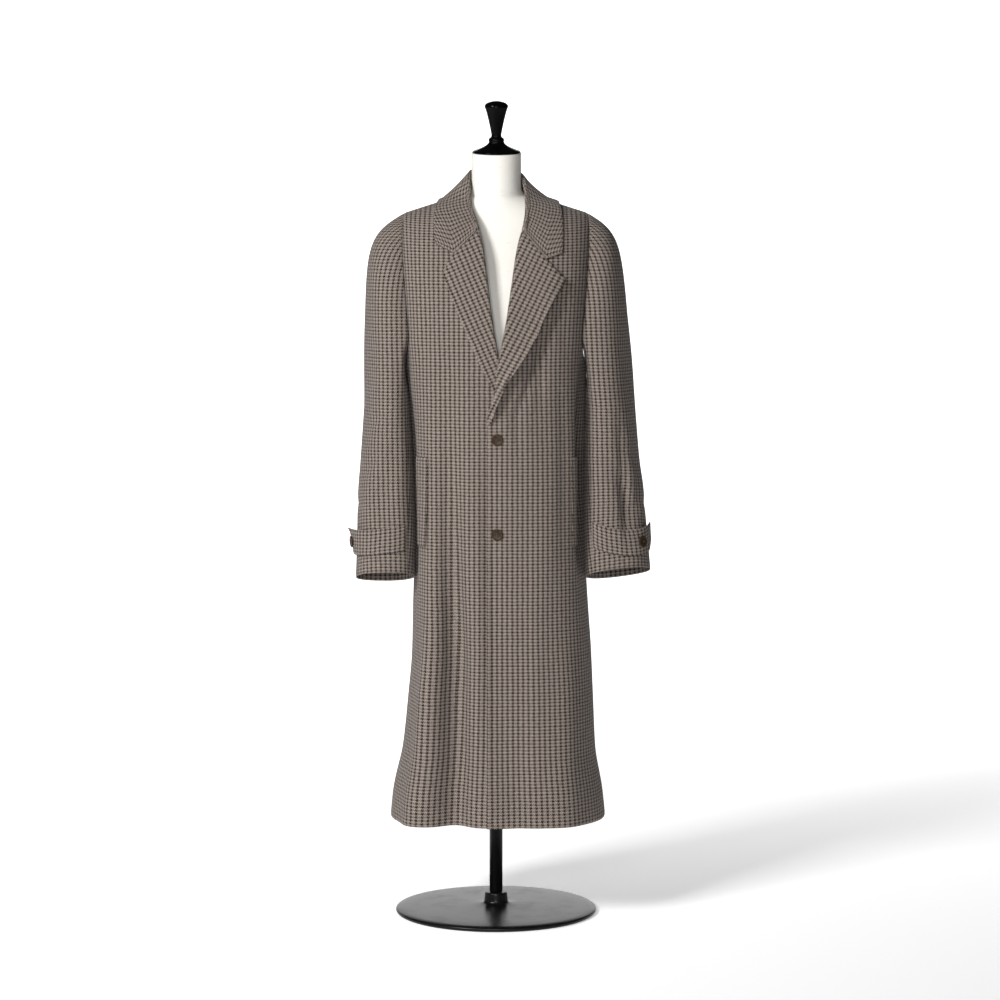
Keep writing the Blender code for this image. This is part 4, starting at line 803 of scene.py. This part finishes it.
@lru_cache(maxsize=None)
def cap_curve(side, around):
    """The line of the sleeve head from the armhole down to the tube, as the four points of a curve."""
    top = (1 + math.cos(around)) / 2
    out, down = LEAVE_OUT[0] + LEAVE_OUT[1] * top, LEAVE_DOWN[0] - LEAVE_DOWN[1] * top
    start = unit(np.array([side * out, -LEAVE_FORWARD * math.sin(around), -down]))
    step = 0.02
    ahead = armhole_point(side, around + step) - armhole_point(side, around - step)
    surface, column, rise = armhole_place(around)
    rim = unit(panel_normal(surface, side, column, rise) + unit(np.cross(ahead, start)) * side)
    clear = SEAM / max(LEAST_SLANT, math.sqrt(max(0.0, 1 - float(start @ rim) ** 2)))
    first, last = armhole_point(side, around) + start * clear, sleeve_ring(side, around, BICEP)
    handle = first + start * (HEAD_EASE + HEAD[side].fullness * top ** HEAD_POWER)
    climb = HEAD_CLIMB[0] + HEAD_CLIMB[1] * top ** CLIMB_POWER
    return first, handle, last + climb * np.array([-side * HEAD[side].lean, 0.0, 1.0]), last


def sleeve_at(side, around, down):
    """The sleeve: down runs 0 to 1 over its head and 1 to 2 along its tube to the cuff."""
    if down >= 1:
        return sleeve_ring(side, around, BICEP + (CUFF - BICEP) * (down - 1))
    first, handle, lower, last = cap_curve(side, around)
    rest = 1 - down
    upper_part = first * rest ** 3 + handle * 3 * rest * rest * down
    return upper_part + lower * 3 * rest * down * down + last * down ** 3


CAP_ROWS, TUBE_ROWS, HEAD_LEVELS = 40, 64, 120
UPPER_COLUMNS, UNDER_COLUMNS = 64, 32
SLEEVE_AXIS = (0.215, -0.01)     # a line inside each sleeve, out from the centre line and forward


def sleeve_outwards(side):
    axis = np.array([side * SLEEVE_AXIS[0], SLEEVE_AXIS[1], 0.0])
    return lambda points: level_outwards(points - axis)


def sleeve_sheet(side, first, last, columns, creases):
    """A sleeve's upper or under piece between two seams."""
    turns = [first + (last - first) * i / columns for i in range(columns + 1)]
    centre = 0.0 if first < 0 else (first + last) / 2
    sheet = Sheet(sleeve_outwards(side))
    downs = [i / CAP_ROWS for i in range(CAP_ROWS)] + [1 + i / TUBE_ROWS for i in range(TUBE_ROWS + 1)]
    grid = []
    for down in downs:
        line = [sleeve_at(side, turn, down) for turn in turns]
        line[0] = line[0] + unit(line[1] - line[0]) * SEAM / 2
        line[-1] = line[-1] + unit(line[-2] - line[-1]) * SEAM / 2
        grid.append(line)
    grid = np.array(grid)
    across = np.cumsum(np.linalg.norm(np.diff(grid, axis=1, prepend=grid[:, :1]), axis=2), axis=1)
    up = np.array([[BICEP + (CUFF - BICEP) * max(down - 1, 0.0)] * len(turns) for down in downs])
    head = grid[CAP_ROWS::-1]
    levels = np.linspace(BICEP, head[:, :, 2].max(), HEAD_LEVELS)
    outline = [[np.interp(levels, column[:, 2], column[:, i]) for i in (0, 1)]
               for column in head.transpose(1, 0, 2)]
    steps = np.linalg.norm(np.diff(outline, axis=0), axis=1)
    round_head = np.vstack((np.zeros(len(levels)), np.cumsum(steps, axis=0)))
    top = head[:, np.argmin(np.abs(np.array(turns) - centre))]
    top_climb = BICEP + np.concatenate(([0.0], np.cumsum(np.linalg.norm(np.diff(top, axis=0), axis=1))))
    for row in range(CAP_ROWS):
        across[row] = [np.interp(p[2], levels, lengths) for p, lengths in zip(grid[row], round_head)]
        up[row] = np.interp(grid[row][:, 2], top[:, 2], top_climb)
    level_middle = [np.interp(centre, turns, lengths) for lengths in round_head.T]
    for row in range(len(downs)):
        if row < CAP_ROWS:
            across[row] -= [np.interp(p[2], levels, level_middle) for p in grid[row]]
        else:
            across[row] -= np.interp(centre, turns, across[row])
    rows = [sheet.row(line, zip(u, v)) for line, u, v in zip(grid, across, up)]
    sheet.join(rows)
    sheet.crease(creases)
    return sheet


sleeve_trees = {}
for side, word in SIDES.items():
    panels = {"_upper_sleeve": (BACK_SEAM - 2 * math.pi, FRONT_SEAM, UPPER_COLUMNS),
              "_under_sleeve": (FRONT_SEAM, BACK_SEAM, UNDER_COLUMNS)}
    for name, between in panels.items():
        sheet = sleeve_sheet(side, *between, creases_of(SLEEVE_CREASES, word + name))
        sewn(word + name, sheet, CLOTH, tweed)
        if name == "_upper_sleeve":
            sleeve_trees[side] = sheet.tree()


# The lapels: the faced tops of the fronts, turned back along a soft roll from the upper button to the gorge
# and pressed flat. Their outer edge is on the grain, so the check lies at a slant to the front's.
LapelEdge = namedtuple("LapelEdge", "height out")
LAPEL_EDGE = {
    RIGHT: (LapelEdge(0.985, -0.0080), LapelEdge(1.0129, 0.0053), LapelEdge(1.0534, 0.0275),
            LapelEdge(1.136, 0.0626), LapelEdge(1.2245, 0.0979)),
    LEFT: (LapelEdge(0.945, -0.0090), LapelEdge(0.9725, -0.0030), LapelEdge(0.9967, 0.0072),
           LapelEdge(1.0227, 0.0196), LapelEdge(1.0506, 0.0370), LapelEdge(1.0919, 0.0618),
           LapelEdge(1.1753, 0.1038), LapelEdge(1.2110, 0.1250)),
}
LAPEL_STAND, LAPEL_BELLY = {RIGHT: 0.0050, LEFT: 0.0065}, {RIGHT: 0.002, LEFT: 0.010}
BELLY_FULL, BELLY_TIP, TIP_BELLY = 0.15, 0.80, 0.5
ROLL_STAND, BREAK_STAND, ROLL_GAP, GORGE_GAP = 0.0072, 0.0046, 0.0006, 0.0006
Notch = namedtuple("Notch", "gorge_height notch_out notch_height corner_out corner_height")
NOTCH = {RIGHT: Notch(1.300, 0.0777, 1.2580, 0.1110, 1.2770),
         LEFT: Notch(1.2985, 0.0920, 1.2490, 0.1220, 1.2600)}
NOTCH_SHARE, BREAK_SHARE = 0.6, 0.3
VIEW_FROM, NEAR_FROM = -1.0, -0.2   # in front of the coat: where a view starts, and a nearest point is sought
ROLL_TURNS = [math.pi * i / 8 for i in range(9)]
LAPEL_ROWS, FLAT_SHARES = 80, [i / 30 for i in range(1, 31)]


def on_panel(tree, out, side, height):
    """The point of a front at a place in the front view, and the way the cloth faces there."""
    place, normal, _, _ = tree.ray_cast(Vector((side * out, VIEW_FROM, height)), Vector((0.0, 1.0, 0.0)))
    if place is None:
        place, normal, _, _ = tree.find_nearest(Vector((side * out, NEAR_FROM, height)))
    normal = np.array(normal)
    return np.array(place), normal * (-1 if normal[1] > 0 else 1)


def notch_line(side, share):
    """The line from the gorge at the roll to the notch, in the front view."""
    notch = NOTCH[side]
    start = np.array([front_edge(side, notch.gorge_height), notch.gorge_height])
    return start + (np.array([notch.notch_out, notch.notch_height]) - start) * share


def roll_points(front, height, stand=ROLL_STAND):
    """The cloth turning round a front's edge, from its inside to the lapel's face."""
    edge = front.edge_points
    above = min(max(int(np.searchsorted(edge[:, 2], height)), 1), len(edge) - 1)
    share = (height - edge[above - 1][2]) / (edge[above][2] - edge[above - 1][2])
    point = edge[above - 1] + (edge[above] - edge[above - 1]) * share
    facing = unit(front.edge_facing[above - 1] * (1 - share) + front.edge_facing[above] * share)
    past = unit(np.cross(edge[above] - edge[above - 1], facing))
    past *= math.copysign(1, past @ (edge[above] - front.points[front.edge[above] + 1]))
    radius = (stand + CLOTH) / 2
    return [point + past * (radius * math.sin(turn) + ROLL_GAP)
            + facing * (radius * (1 - math.cos(turn)) - CLOTH) for turn in ROLL_TURNS]


def lapel_sheet(side, front, tree):
    """A lapel: it turns round the front's edge and lies back over the front to its outer edge."""
    notch, table = NOTCH[side], LAPEL_EDGE[side]
    bottom, tip = np.array(table[0][::-1]), np.array(table[-1][::-1])
    grain = unit(tip - bottom)
    gorge = np.array([front_edge(side, notch.gorge_height), notch.gorge_height])
    sheet, rows = Sheet(lambda p: np.array([0.0, -1.0, 0.0])), []
    for row in range(LAPEL_ROWS + 1):
        share = row / LAPEL_ROWS
        roll_z = bottom[1] + (notch.gorge_height - GORGE_GAP - bottom[1]) * share
        roll = np.array([front_edge(side, roll_z), roll_z])
        edge_z = bottom[1] + (tip[1] - bottom[1]) * share
        edge = np.array([column_at(table, "out", edge_z), edge_z])
        roll_stand = BREAK_STAND + (ROLL_STAND - BREAK_STAND) * ease(share / BREAK_SHARE)
        line, flats = roll_points(front, roll_z, roll_stand), []
        belly = LAPEL_BELLY[side] * ease(share / BELLY_FULL)
        belly *= 1 - TIP_BELLY * ease((share - BELLY_TIP) / (1 - BELLY_TIP))
        for across in FLAT_SHARES:
            top = notch_line(side, min(across / NOTCH_SHARE, 1.0))
            top = top + (tip - top) * max(0.0, (across - NOTCH_SHARE) / (1 - NOTCH_SHARE))
            top[1] -= GORGE_GAP
            straight = gorge + (tip - gorge) * across
            flat = roll + (edge - roll) * across + (top - straight) * share ** 3
            under, way = on_panel(tree, flat[0], side, flat[1])
            stand = roll_stand + (min(roll_stand, LAPEL_STAND[side]) - roll_stand) * across
            line.append(under + way * (stand + belly * across ** 3))
            flats.append(flat)
        flats = np.array(flats)
        u, v = flats @ np.array([grain[1], -grain[0]]), flats @ grain
        steps = [np.linalg.norm(b - a) for a, b in zip(line, line[1:len(ROLL_TURNS) + 1])]
        turned = np.cumsum(steps[::-1])[::-1]
        cut = [(u[0] - t * grain[1], v[0] + t * grain[0]) for t in turned] + list(zip(u, v))
        rows.append(sheet.row(line, cut))
    sheet.join(rows)
    return sheet


for side, word in SIDES.items():
    front = fronts[side]
    facing = front.normals()
    front.edge_points = np.array([front.points[i] for i in front.edge])
    front.edge_facing = np.array([facing[i] for i in front.edge])
    lapel = lapel_sheet(side, front, trees[side][0])
    sewn(word + "_lapel", lapel, DOUBLED, tweed)


# The collar: one piece of the same tweed, faced and pressed over into a stand and a fall.
# It is sewn round the neck from gorge to gorge and its fall lies on the backs and the fronts.
CollarStation = namedtuple("CollarStation", "fold_out fold_y fold_z edge_out edge_y edge_z")
COLLAR_BACK = CollarStation(0.0, 0.060, 1.425, 0.0, 0.118, 1.352)
COLLAR = {
    RIGHT: (CollarStation(0.0300, 0.049, 1.422, 0.0580, 0.100, 1.354),
            CollarStation(0.0495, 0.018, 1.415, 0.0980, 0.050, 1.356),
            CollarStation(0.0515, -0.012, 1.402, 0.1065, -0.004, 1.359),
            CollarStation(0.0465, -0.048, 1.360, 0.1135, -0.045, 1.336),
            CollarStation(0.0385, -0.076, 1.326, 0.1145, -0.070, 1.312)),
    LEFT: (CollarStation(0.0310, 0.049, 1.419, 0.0560, 0.100, 1.352),
           CollarStation(0.0500, 0.018, 1.409, 0.0960, 0.050, 1.353),
           CollarStation(0.0535, -0.012, 1.398, 0.1150, -0.004, 1.355),
           CollarStation(0.0560, -0.048, 1.360, 0.1205, -0.045, 1.334),
           CollarStation(0.0530, -0.076, 1.322, 0.1215, -0.072, 1.303)),
}
COLLAR_STEPS, STAND_POINTS, FALL_MIDDLE = 60, 18, -14
FALL_SHARES = np.linspace(0.06, 1.0, 27)
BACK_SHARE, NECK_POWER = 0.42, 1.25   # the back neck's share of half the seam, and how the rest is spaced
FOLD_TURN, FOLD_FLAT = 0.0046, 0.8    # how far the fold reaches from its line, and its lesser share
ROLL_FROM, ROLL_FULL, LYING_FROM = 0.50, 0.86, 0.55   # where the fold meets the roll, and the fall the front
RESTING, CLEAR_REACH = 0.0024, 0.02
FALL_CLEAR, CROWN = DOUBLED + RESTING, {RIGHT: 0.003, LEFT: -0.004}
UP = np.array([0.0, 0.0, 1.0])


def splined(line, count):
    """A smooth line of evenly spaced points through the points of a rough one."""
    rough = np.array(line)
    keys = np.concatenate(([0.0], np.cumsum(np.linalg.norm(np.diff(rough, axis=0), axis=1))))
    slopes = np.gradient(rough, keys, axis=0)
    places = np.linspace(0.0, keys[-1], count)
    low = np.clip(np.searchsorted(keys, places, "right") - 1, 0, len(keys) - 2)
    step = (keys[low + 1] - keys[low])[:, None]
    share = (places - keys[low])[:, None] / step
    rest = 1 - share
    bend = step * share * rest * (slopes[low] * rest - slopes[low + 1] * share)
    return list(rough[low] * rest * rest * (1 + 2 * share)
                + rough[low + 1] * share * share * (1 + 2 * rest) + bend)


def neck_edge(side, share):
    """The body's neck edge from the centre back (0) to the gorge (1)."""
    if share < BACK_SHARE:
        return back_at(side, NECK_SHARE * share / BACK_SHARE, 2.0)
    fall = ((share - BACK_SHARE) / (1 - BACK_SHARE)) ** NECK_POWER
    height = NECK_POINT[2] + (NOTCH[side].gorge_height + GORGE_GAP - NECK_POINT[2]) * fall
    return front_at(side, 0.0, 1 + math.asin((height - CHEST) / (NECK_POINT[2] - CHEST)) * 2 / math.pi)


def clear_of(tree, point, gap):
    """The point, moved out where it is closer than a gap to a surface or behind it."""
    place, normal, _, distance = tree.find_nearest(Vector(point))
    place, normal = np.array(place), np.array(normal)
    away = float((point - place) @ normal)
    return point + normal * (gap - away) if away < gap and distance < CLEAR_REACH else point


def collar_row(side, share, front, panel, back_panel):
    """One section of the collar, from the neck seam up the stand, over the fold and down the fall."""
    notch, seam = NOTCH[side], neck_edge(side, share)
    roll = roll_points(front, max(seam[2], notch.gorge_height + GORGE_GAP))[::2]
    gorge_roll = roll_points(front, notch.gorge_height + GORGE_GAP)[4]
    corner, corner_facing = on_panel(panel, notch.corner_out, side, notch.corner_height)
    corner = corner + corner_facing * FALL_CLEAR
    last = CollarStation(side * gorge_roll[0], *gorge_roll[1:], side * corner[0], *corner[1:])
    stations = (COLLAR_BACK, *COLLAR[side], last)
    keys = [i / (len(stations) - 1) for i in range(len(stations))]
    at = CollarStation(*[smooth(keys, [s[i] for s in stations], share) for i in range(len(last))])
    fold = np.array([side * at.fold_out, at.fold_y, at.fold_z])
    edge = np.array([side * at.edge_out, at.edge_y, at.edge_z])
    outward = unit(level_outwards(edge - fold))
    foot = seam - outward * 2 * SEAM + UP * 3 * SEAM
    inside = fold - outward * FOLD_TURN * FOLD_FLAT - UP * FOLD_TURN
    outside = fold + outward * FOLD_TURN - UP * FOLD_TURN * FOLD_FLAT
    blend = ease((share - ROLL_FROM) / (ROLL_FULL - ROLL_FROM))
    line = [a + (b - a) * blend for a, b in zip([foot, (foot + inside) / 2, inside, fold, outside], roll)]
    crown, fall = (outside + edge) / 2 + UP * CROWN[side], []
    for across in FALL_SHARES:
        rest = 1 - across
        point = line[4] * rest * rest + crown * 2 * rest * across + edge * across * across
        flat = notch_line(side, min(across / NOTCH_SHARE, 1.0))
        beyond = max(0.0, (across - NOTCH_SHARE) / (1 - NOTCH_SHARE))
        flat = flat + (np.array([notch.corner_out, notch.corner_height]) - flat) * beyond
        under, way = on_panel(panel, flat[0], side, flat[1] + GORGE_GAP)
        lying = under + way * (ROLL_STAND + (FALL_CLEAR - ROLL_STAND) * across)
        point = point + (lying - point) * ease((share - LYING_FROM) / (1 - LYING_FROM))
        for tree in (panel, back_panel):
            point = clear_of(tree, point, FALL_CLEAR)
        fall.append(point)
    return splined(line + fall[:2], STAND_POINTS)[:-1] + fall[1:]


shares = [i / COLLAR_STEPS for i in range(COLLAR_STEPS + 1)]
halves = [(RIGHT, share) for share in shares[:0:-1]] + [(LEFT, share) for share in shares]
sections = np.array([collar_row(side, share, fronts[side], *trees[side]) for side, share in halves])
middle = sections[:, FALL_MIDDLE]
along = np.concatenate(([0.0], np.cumsum(np.linalg.norm(np.diff(middle, axis=0), axis=1))))
along -= along[COLLAR_STEPS]
down = np.cumsum(np.linalg.norm(np.diff(sections, axis=1, prepend=sections[:, :1]), axis=2), axis=1)
down -= down[:, STAND_POINTS // 2:STAND_POINTS // 2 + 1]
collar = Sheet(lambda points: level_outwards(points) + 0.05 * UP)
collar.join([collar.row(line, [(u, v) for v in falls]) for line, u, falls in zip(sections, along, down)])
sewn("collar", collar, DOUBLED, tweed)


# The pocket welts: doubled strips of the same tweed, sewn over the slant pockets
# and stitched down at their ends.
WELT_BOTTOM, WELT_TOP, WELT_NEAR, WELT_FAR, WELT_SLANT = 0.715, 0.881, 0.88, 1.03, 0.030
WELT_STAND, WELT_ROWS, WELT_COLUMNS = 0.0038, 48, 12


def welt_sheet(side, tree):
    """A pocket welt on the front's outer part, laid on the front's points."""
    sheet, rows = Sheet(level_outwards), []
    for i in range(WELT_ROWS + 1):
        share = i / WELT_ROWS
        height = WELT_BOTTOM + (WELT_TOP - WELT_BOTTOM) * share
        line = []
        for j in range(WELT_COLUMNS + 1):
            column = WELT_NEAR + (WELT_FAR - WELT_NEAR) * j / WELT_COLUMNS + WELT_SLANT * (1 - share)
            place, normal, _, _ = tree.find_nearest(Vector(front_low(side, column, height)))
            line.append(np.array(place + normal * WELT_STAND))
        steps = np.cumsum([0.0] + [np.linalg.norm(b - a) for a, b in zip(line, line[1:])])
        rows.append(sheet.row(line, [(u, height) for u in steps]))
    sheet.join(rows)
    return sheet


for side, word in SIDES.items():
    sewn(word + "_pocket_welt", welt_sheet(side, trees[side][0]), DOUBLED, tweed)


# The cuff straps: doubled tabs of the same tweed, sewn into the front sleeve seams and led round the front
# of the cuffs to a free end, which a button holds.
Strap = namedtuple("Strap", "side start end start_height sag end_height low_stand high_stand taper button")
STRAPS = (Strap(RIGHT, 119, -22, 0.729, 0.004, 0.716, 0.0080, 0.0200, 0.60, 0.84),
          Strap(LEFT, 124, -4, 0.735, 0.015, 0.729, 0.0070, 0.0085, 0.25, 0.68))
STRAP_WIDTH, STRAP_STAND, SEWN_STAND, STRAP_STEPS, STRAP_CROSS = 0.047, 0.0042, 0.0032, 70, 14
SEWN_SHARE, TAPER_SHARE = 0.15, 0.86


def strap_point(strap, tree, share, across):
    """A point of a strap's face: share runs to its free end, across from its lower to its upper edge."""
    around = math.radians(strap.start + (strap.end - strap.start) * share)
    middle = strap.start_height + (strap.end_height - strap.start_height) * share
    middle -= strap.sag * math.sin(math.pi * share)
    narrowing = strap.taper * ease((share - TAPER_SHARE) / (1 - TAPER_SHARE))
    height = middle + (across - 0.5 + narrowing * (1 - across)) * STRAP_WIDTH
    level = 2 * height - sleeve_ring(strap.side, around, height)[2]
    place, normal, _, _ = tree.find_nearest(Vector(sleeve_ring(strap.side, around, level)))
    lift = strap.low_stand + (strap.high_stand - strap.low_stand) * across
    stand = STRAP_STAND + (lift - STRAP_STAND) * share ** 4
    stand += (SEWN_STAND - stand) * (1 - ease(share / SEWN_SHARE))
    return np.array(place) + np.array(normal) * stand


button_places = {}
for strap in STRAPS:
    word, tree = SIDES[strap.side], sleeve_trees[strap.side]
    band, rows = Sheet(sleeve_outwards(strap.side)), []
    before, length = None, 0.0
    for i in range(STRAP_STEPS + 1):
        line = [strap_point(strap, tree, i / STRAP_STEPS, j / STRAP_CROSS) for j in range(STRAP_CROSS + 1)]
        centre = line[STRAP_CROSS // 2]
        length += 0.0 if before is None else np.linalg.norm(centre - before)
        before = centre
        rows.append(band.row(line, [(length, np.linalg.norm(p - centre) * (1 if p[2] > centre[2] else -1))
                                    for p in line]))
    band.join(rows)
    sewn(word + "_cuff_strap", band, DOUBLED, tweed)
    middle = rows[round(strap.button * STRAP_STEPS)][STRAP_CROSS // 2]
    button_places[word + "_cuff_button"] = band.points[middle], band.normals()[middle]


# The buttons: dished discs turned from brown horn, with four sewing holes and a cross of thread.
# The two on the front close it and the other two hold the cuff straps; all four are made the same size.
BUTTON_RADIUS, BUTTON_SIDES, BUTTON_GAP = 0.011, 40, 0.0006
HOLE_RADIUS, HOLE_PITCH, HOLE_SIDES, DRILL_DEPTH = 0.0010, 0.0017, 16, 0.02
STRAND_RADIUS, STRAND_HEIGHT = 0.0005, 0.0010
FRONT_BUTTON_OUT = 0.0025
BUTTON = ((0.0060, 0.0), (0.0080, 0.0002), (0.0100, 0.0008), (0.0109, 0.0016), (BUTTON_RADIUS, 0.0021),
          (0.0106, 0.0029), (0.0098, 0.0034), (0.0088, 0.0034), (0.0078, 0.0029), (0.0066, 0.0025),
          (0.0030, 0.0023))
horn = Finish("brown_horn", coat_weight=0.03, coat_roughness=0.15, specular_ior_level=0.12)
streaks = horn.place.scaled(260.0, 260.0, 900.0).noise(1.0, 4.0, 0.65)
mottle = horn.place.noise(420.0, 3.0, 0.6)
brown = streaks.between(0.35, 0.68).mix((0.014, 0.009, 0.005, 1), (0.070, 0.042, 0.022, 1))
horn.feed("Base Color", mottle.between(0.50, 0.66).mix(brown, (0.006, 0.0045, 0.0035, 1)))
horn.feed("Roughness", 0.30 + 0.2 * streaks)
horn.bump(streaks, 0.1, 0.0003)
thread = Finish("button_thread", roughness=0.85)
twist = thread.place.noise(2500.0, 2.0)
thread.feed("Base Color", twist.mix((0.03, 0.022, 0.018, 1), (0.07, 0.055, 0.045, 1)))
thread.bump(thread.place.scaled(2500.0, 2500.0, 900.0).noise(1.0, 1.0), 0.4, 0.0002)

button = turned_piece("button", BUTTON, BUTTON_SIDES, horn)
for x in (-HOLE_PITCH, HOLE_PITCH):
    for y in (-HOLE_PITCH, HOLE_PITCH):
        bpy.ops.mesh.primitive_cylinder_add(vertices=HOLE_SIDES, radius=HOLE_RADIUS, depth=DRILL_DEPTH,
                                            location=(x, y, 0))
        drill = bpy.context.object
        cut = button.modifiers.new("Sewing hole", "BOOLEAN")
        cut.operation, cut.solver, cut.object = "DIFFERENCE", "MANIFOLD", drill
        bpy.context.view_layer.objects.active = button
        bpy.ops.object.modifier_apply(modifier="Sewing hole")
        bpy.data.objects.remove(drill, do_unlink=True)
strands = []
for turn in (math.radians(45), math.radians(-45)):
    bpy.ops.mesh.primitive_torus_add(major_segments=24, minor_segments=8,
                                     major_radius=HOLE_PITCH * math.sqrt(2), minor_radius=STRAND_RADIUS,
                                     location=(0, 0, STRAND_HEIGHT), rotation=(math.radians(90), 0, turn))
    strand = bpy.context.object
    bpy.ops.object.transform_apply(location=True, rotation=True)
    strand.data.materials.append(thread.material)
    bpy.ops.object.shade_smooth()
    strands.append(strand)
bpy.ops.object.select_all(action="DESELECT")
for piece in strands + [button]:
    piece.select_set(True)
bpy.context.view_layer.objects.active = button
bpy.ops.object.join()

for name, height in (("upper_front_button", 0.917), ("lower_front_button", 0.741)):
    button_places[name] = on_panel(trees[LEFT][0], FRONT_BUTTON_OUT, LEFT, height)
for name, (place, facing) in button_places.items():
    piece = button.copy()
    piece.data = button.data.copy()
    piece.name = name + "_horn"
    bpy.context.scene.collection.objects.link(piece)
    turn = Vector(facing).to_track_quat("Z", "Y").to_matrix().to_4x4()
    piece.data.transform(Matrix.Translation(Vector(place) + BUTTON_GAP * Vector(facing)) @ turn)
    stands_for(piece, name)
bpy.data.objects.remove(button, do_unlink=True)


# The studio: white paper that runs from the floor up into a backdrop, which glows behind the coat.
# The key light stands at the front and the upper left, a weaker one straight ahead, and the paper in front
# is grey, so the hollows of the coat stay dark.
paper = Finish("white_paper", roughness=0.9, specular_ior_level=0.1, emission_strength=1.0)
paper_x, paper_y = [paper.place.part(i) for i in (0, 1)]
glow = paper_y.between(-1.5, 2.5) * paper_x.math("ABSOLUTE", paper_x).between(2.9, 2.1)
paper.feed("Base Color", paper_y.between(-1.9, -0.9).mix((0.42, 0.42, 0.42, 1), (0.85, 0.85, 0.85, 1)))
paper.feed("Emission Color", glow.mix((0.05, 0.05, 0.05, 1), (1, 1, 1, 1)))
bpy.ops.object.select_all(action="DESELECT")
PAPER_WIDTH, BACKDROP, SWEEP, SWEEP_STEPS = 12.0, 4.0, 2.0, 24
bpy.ops.mesh.primitive_plane_add(size=PAPER_WIDTH, location=(0, 0, 0))
floor = bpy.context.object
floor.name = "floor"
bpy.ops.object.mode_set(mode="EDIT")
bpy.ops.mesh.select_mode(type="EDGE")
bpy.ops.mesh.select_all(action="DESELECT")
work = bmesh.from_edit_mesh(floor.data)
for edge in work.edges:
    if all(vert.co.y > 0 for vert in edge.verts):
        edge.select_set(True)
bmesh.update_edit_mesh(floor.data)
bpy.ops.mesh.extrude_region_move(TRANSFORM_OT_translate={"value": (0, 0, BACKDROP)})
bpy.ops.object.mode_set(mode="OBJECT")
sweep = floor.modifiers.new("Sweep", "BEVEL")
sweep.width, sweep.segments = SWEEP, SWEEP_STEPS
bpy.ops.object.modifier_apply(modifier="Sweep")
bpy.ops.object.shade_smooth()
floor.data.materials.append(paper.material)

Light = namedtuple("Light", "name place aim size power")
LIGHTS = (Light("key", (-3.0, -3.6, 3.3), (0, 0, 0.85), 1.3, 320),
          Light("front", (-0.3, -5.0, 1.6), (0, 0, 0.8), 1.4, 120))
for light in LIGHTS:
    lamp = bpy.data.lights.new(light.name, "AREA")
    lamp.size, lamp.energy = light.size, light.power
    lamp_object = bpy.data.objects.new(light.name, lamp)
    lamp_object.location = light.place
    towards = Vector(light.aim) - Vector(light.place)
    lamp_object.rotation_euler = towards.to_track_quat("-Z", "Y").to_euler()
    bpy.context.scene.collection.objects.link(lamp_object)
sky = bpy.data.worlds.new("studio")
sky.use_nodes = True
background = sky.node_tree.nodes["Background"]
background.inputs["Color"].default_value = (1, 1, 1, 1)
background.inputs["Strength"].default_value = 0.03
bpy.context.scene.world = sky
bpy.context.scene.view_settings.view_transform = "Standard"

TARGET, DISTANCE, ELEVATION = Vector((0.0076, 0.0, 0.792)), 6.0, math.radians(5)
SENSOR, FIELD = 36.0, 1.9        # the camera's sensor in millimetres, and the width it sees at the coat
lens = bpy.data.cameras.new("camera")
lens.sensor_width, lens.lens = SENSOR, SENSOR * DISTANCE / FIELD
camera = bpy.data.objects.new("camera", lens)
camera.location = TARGET + DISTANCE * Vector((0, -math.cos(ELEVATION), math.sin(ELEVATION)))
camera.rotation_euler = (TARGET - camera.location).to_track_quat("-Z", "Y").to_euler()
bpy.context.scene.collection.objects.link(camera)
bpy.context.scene.camera = camera
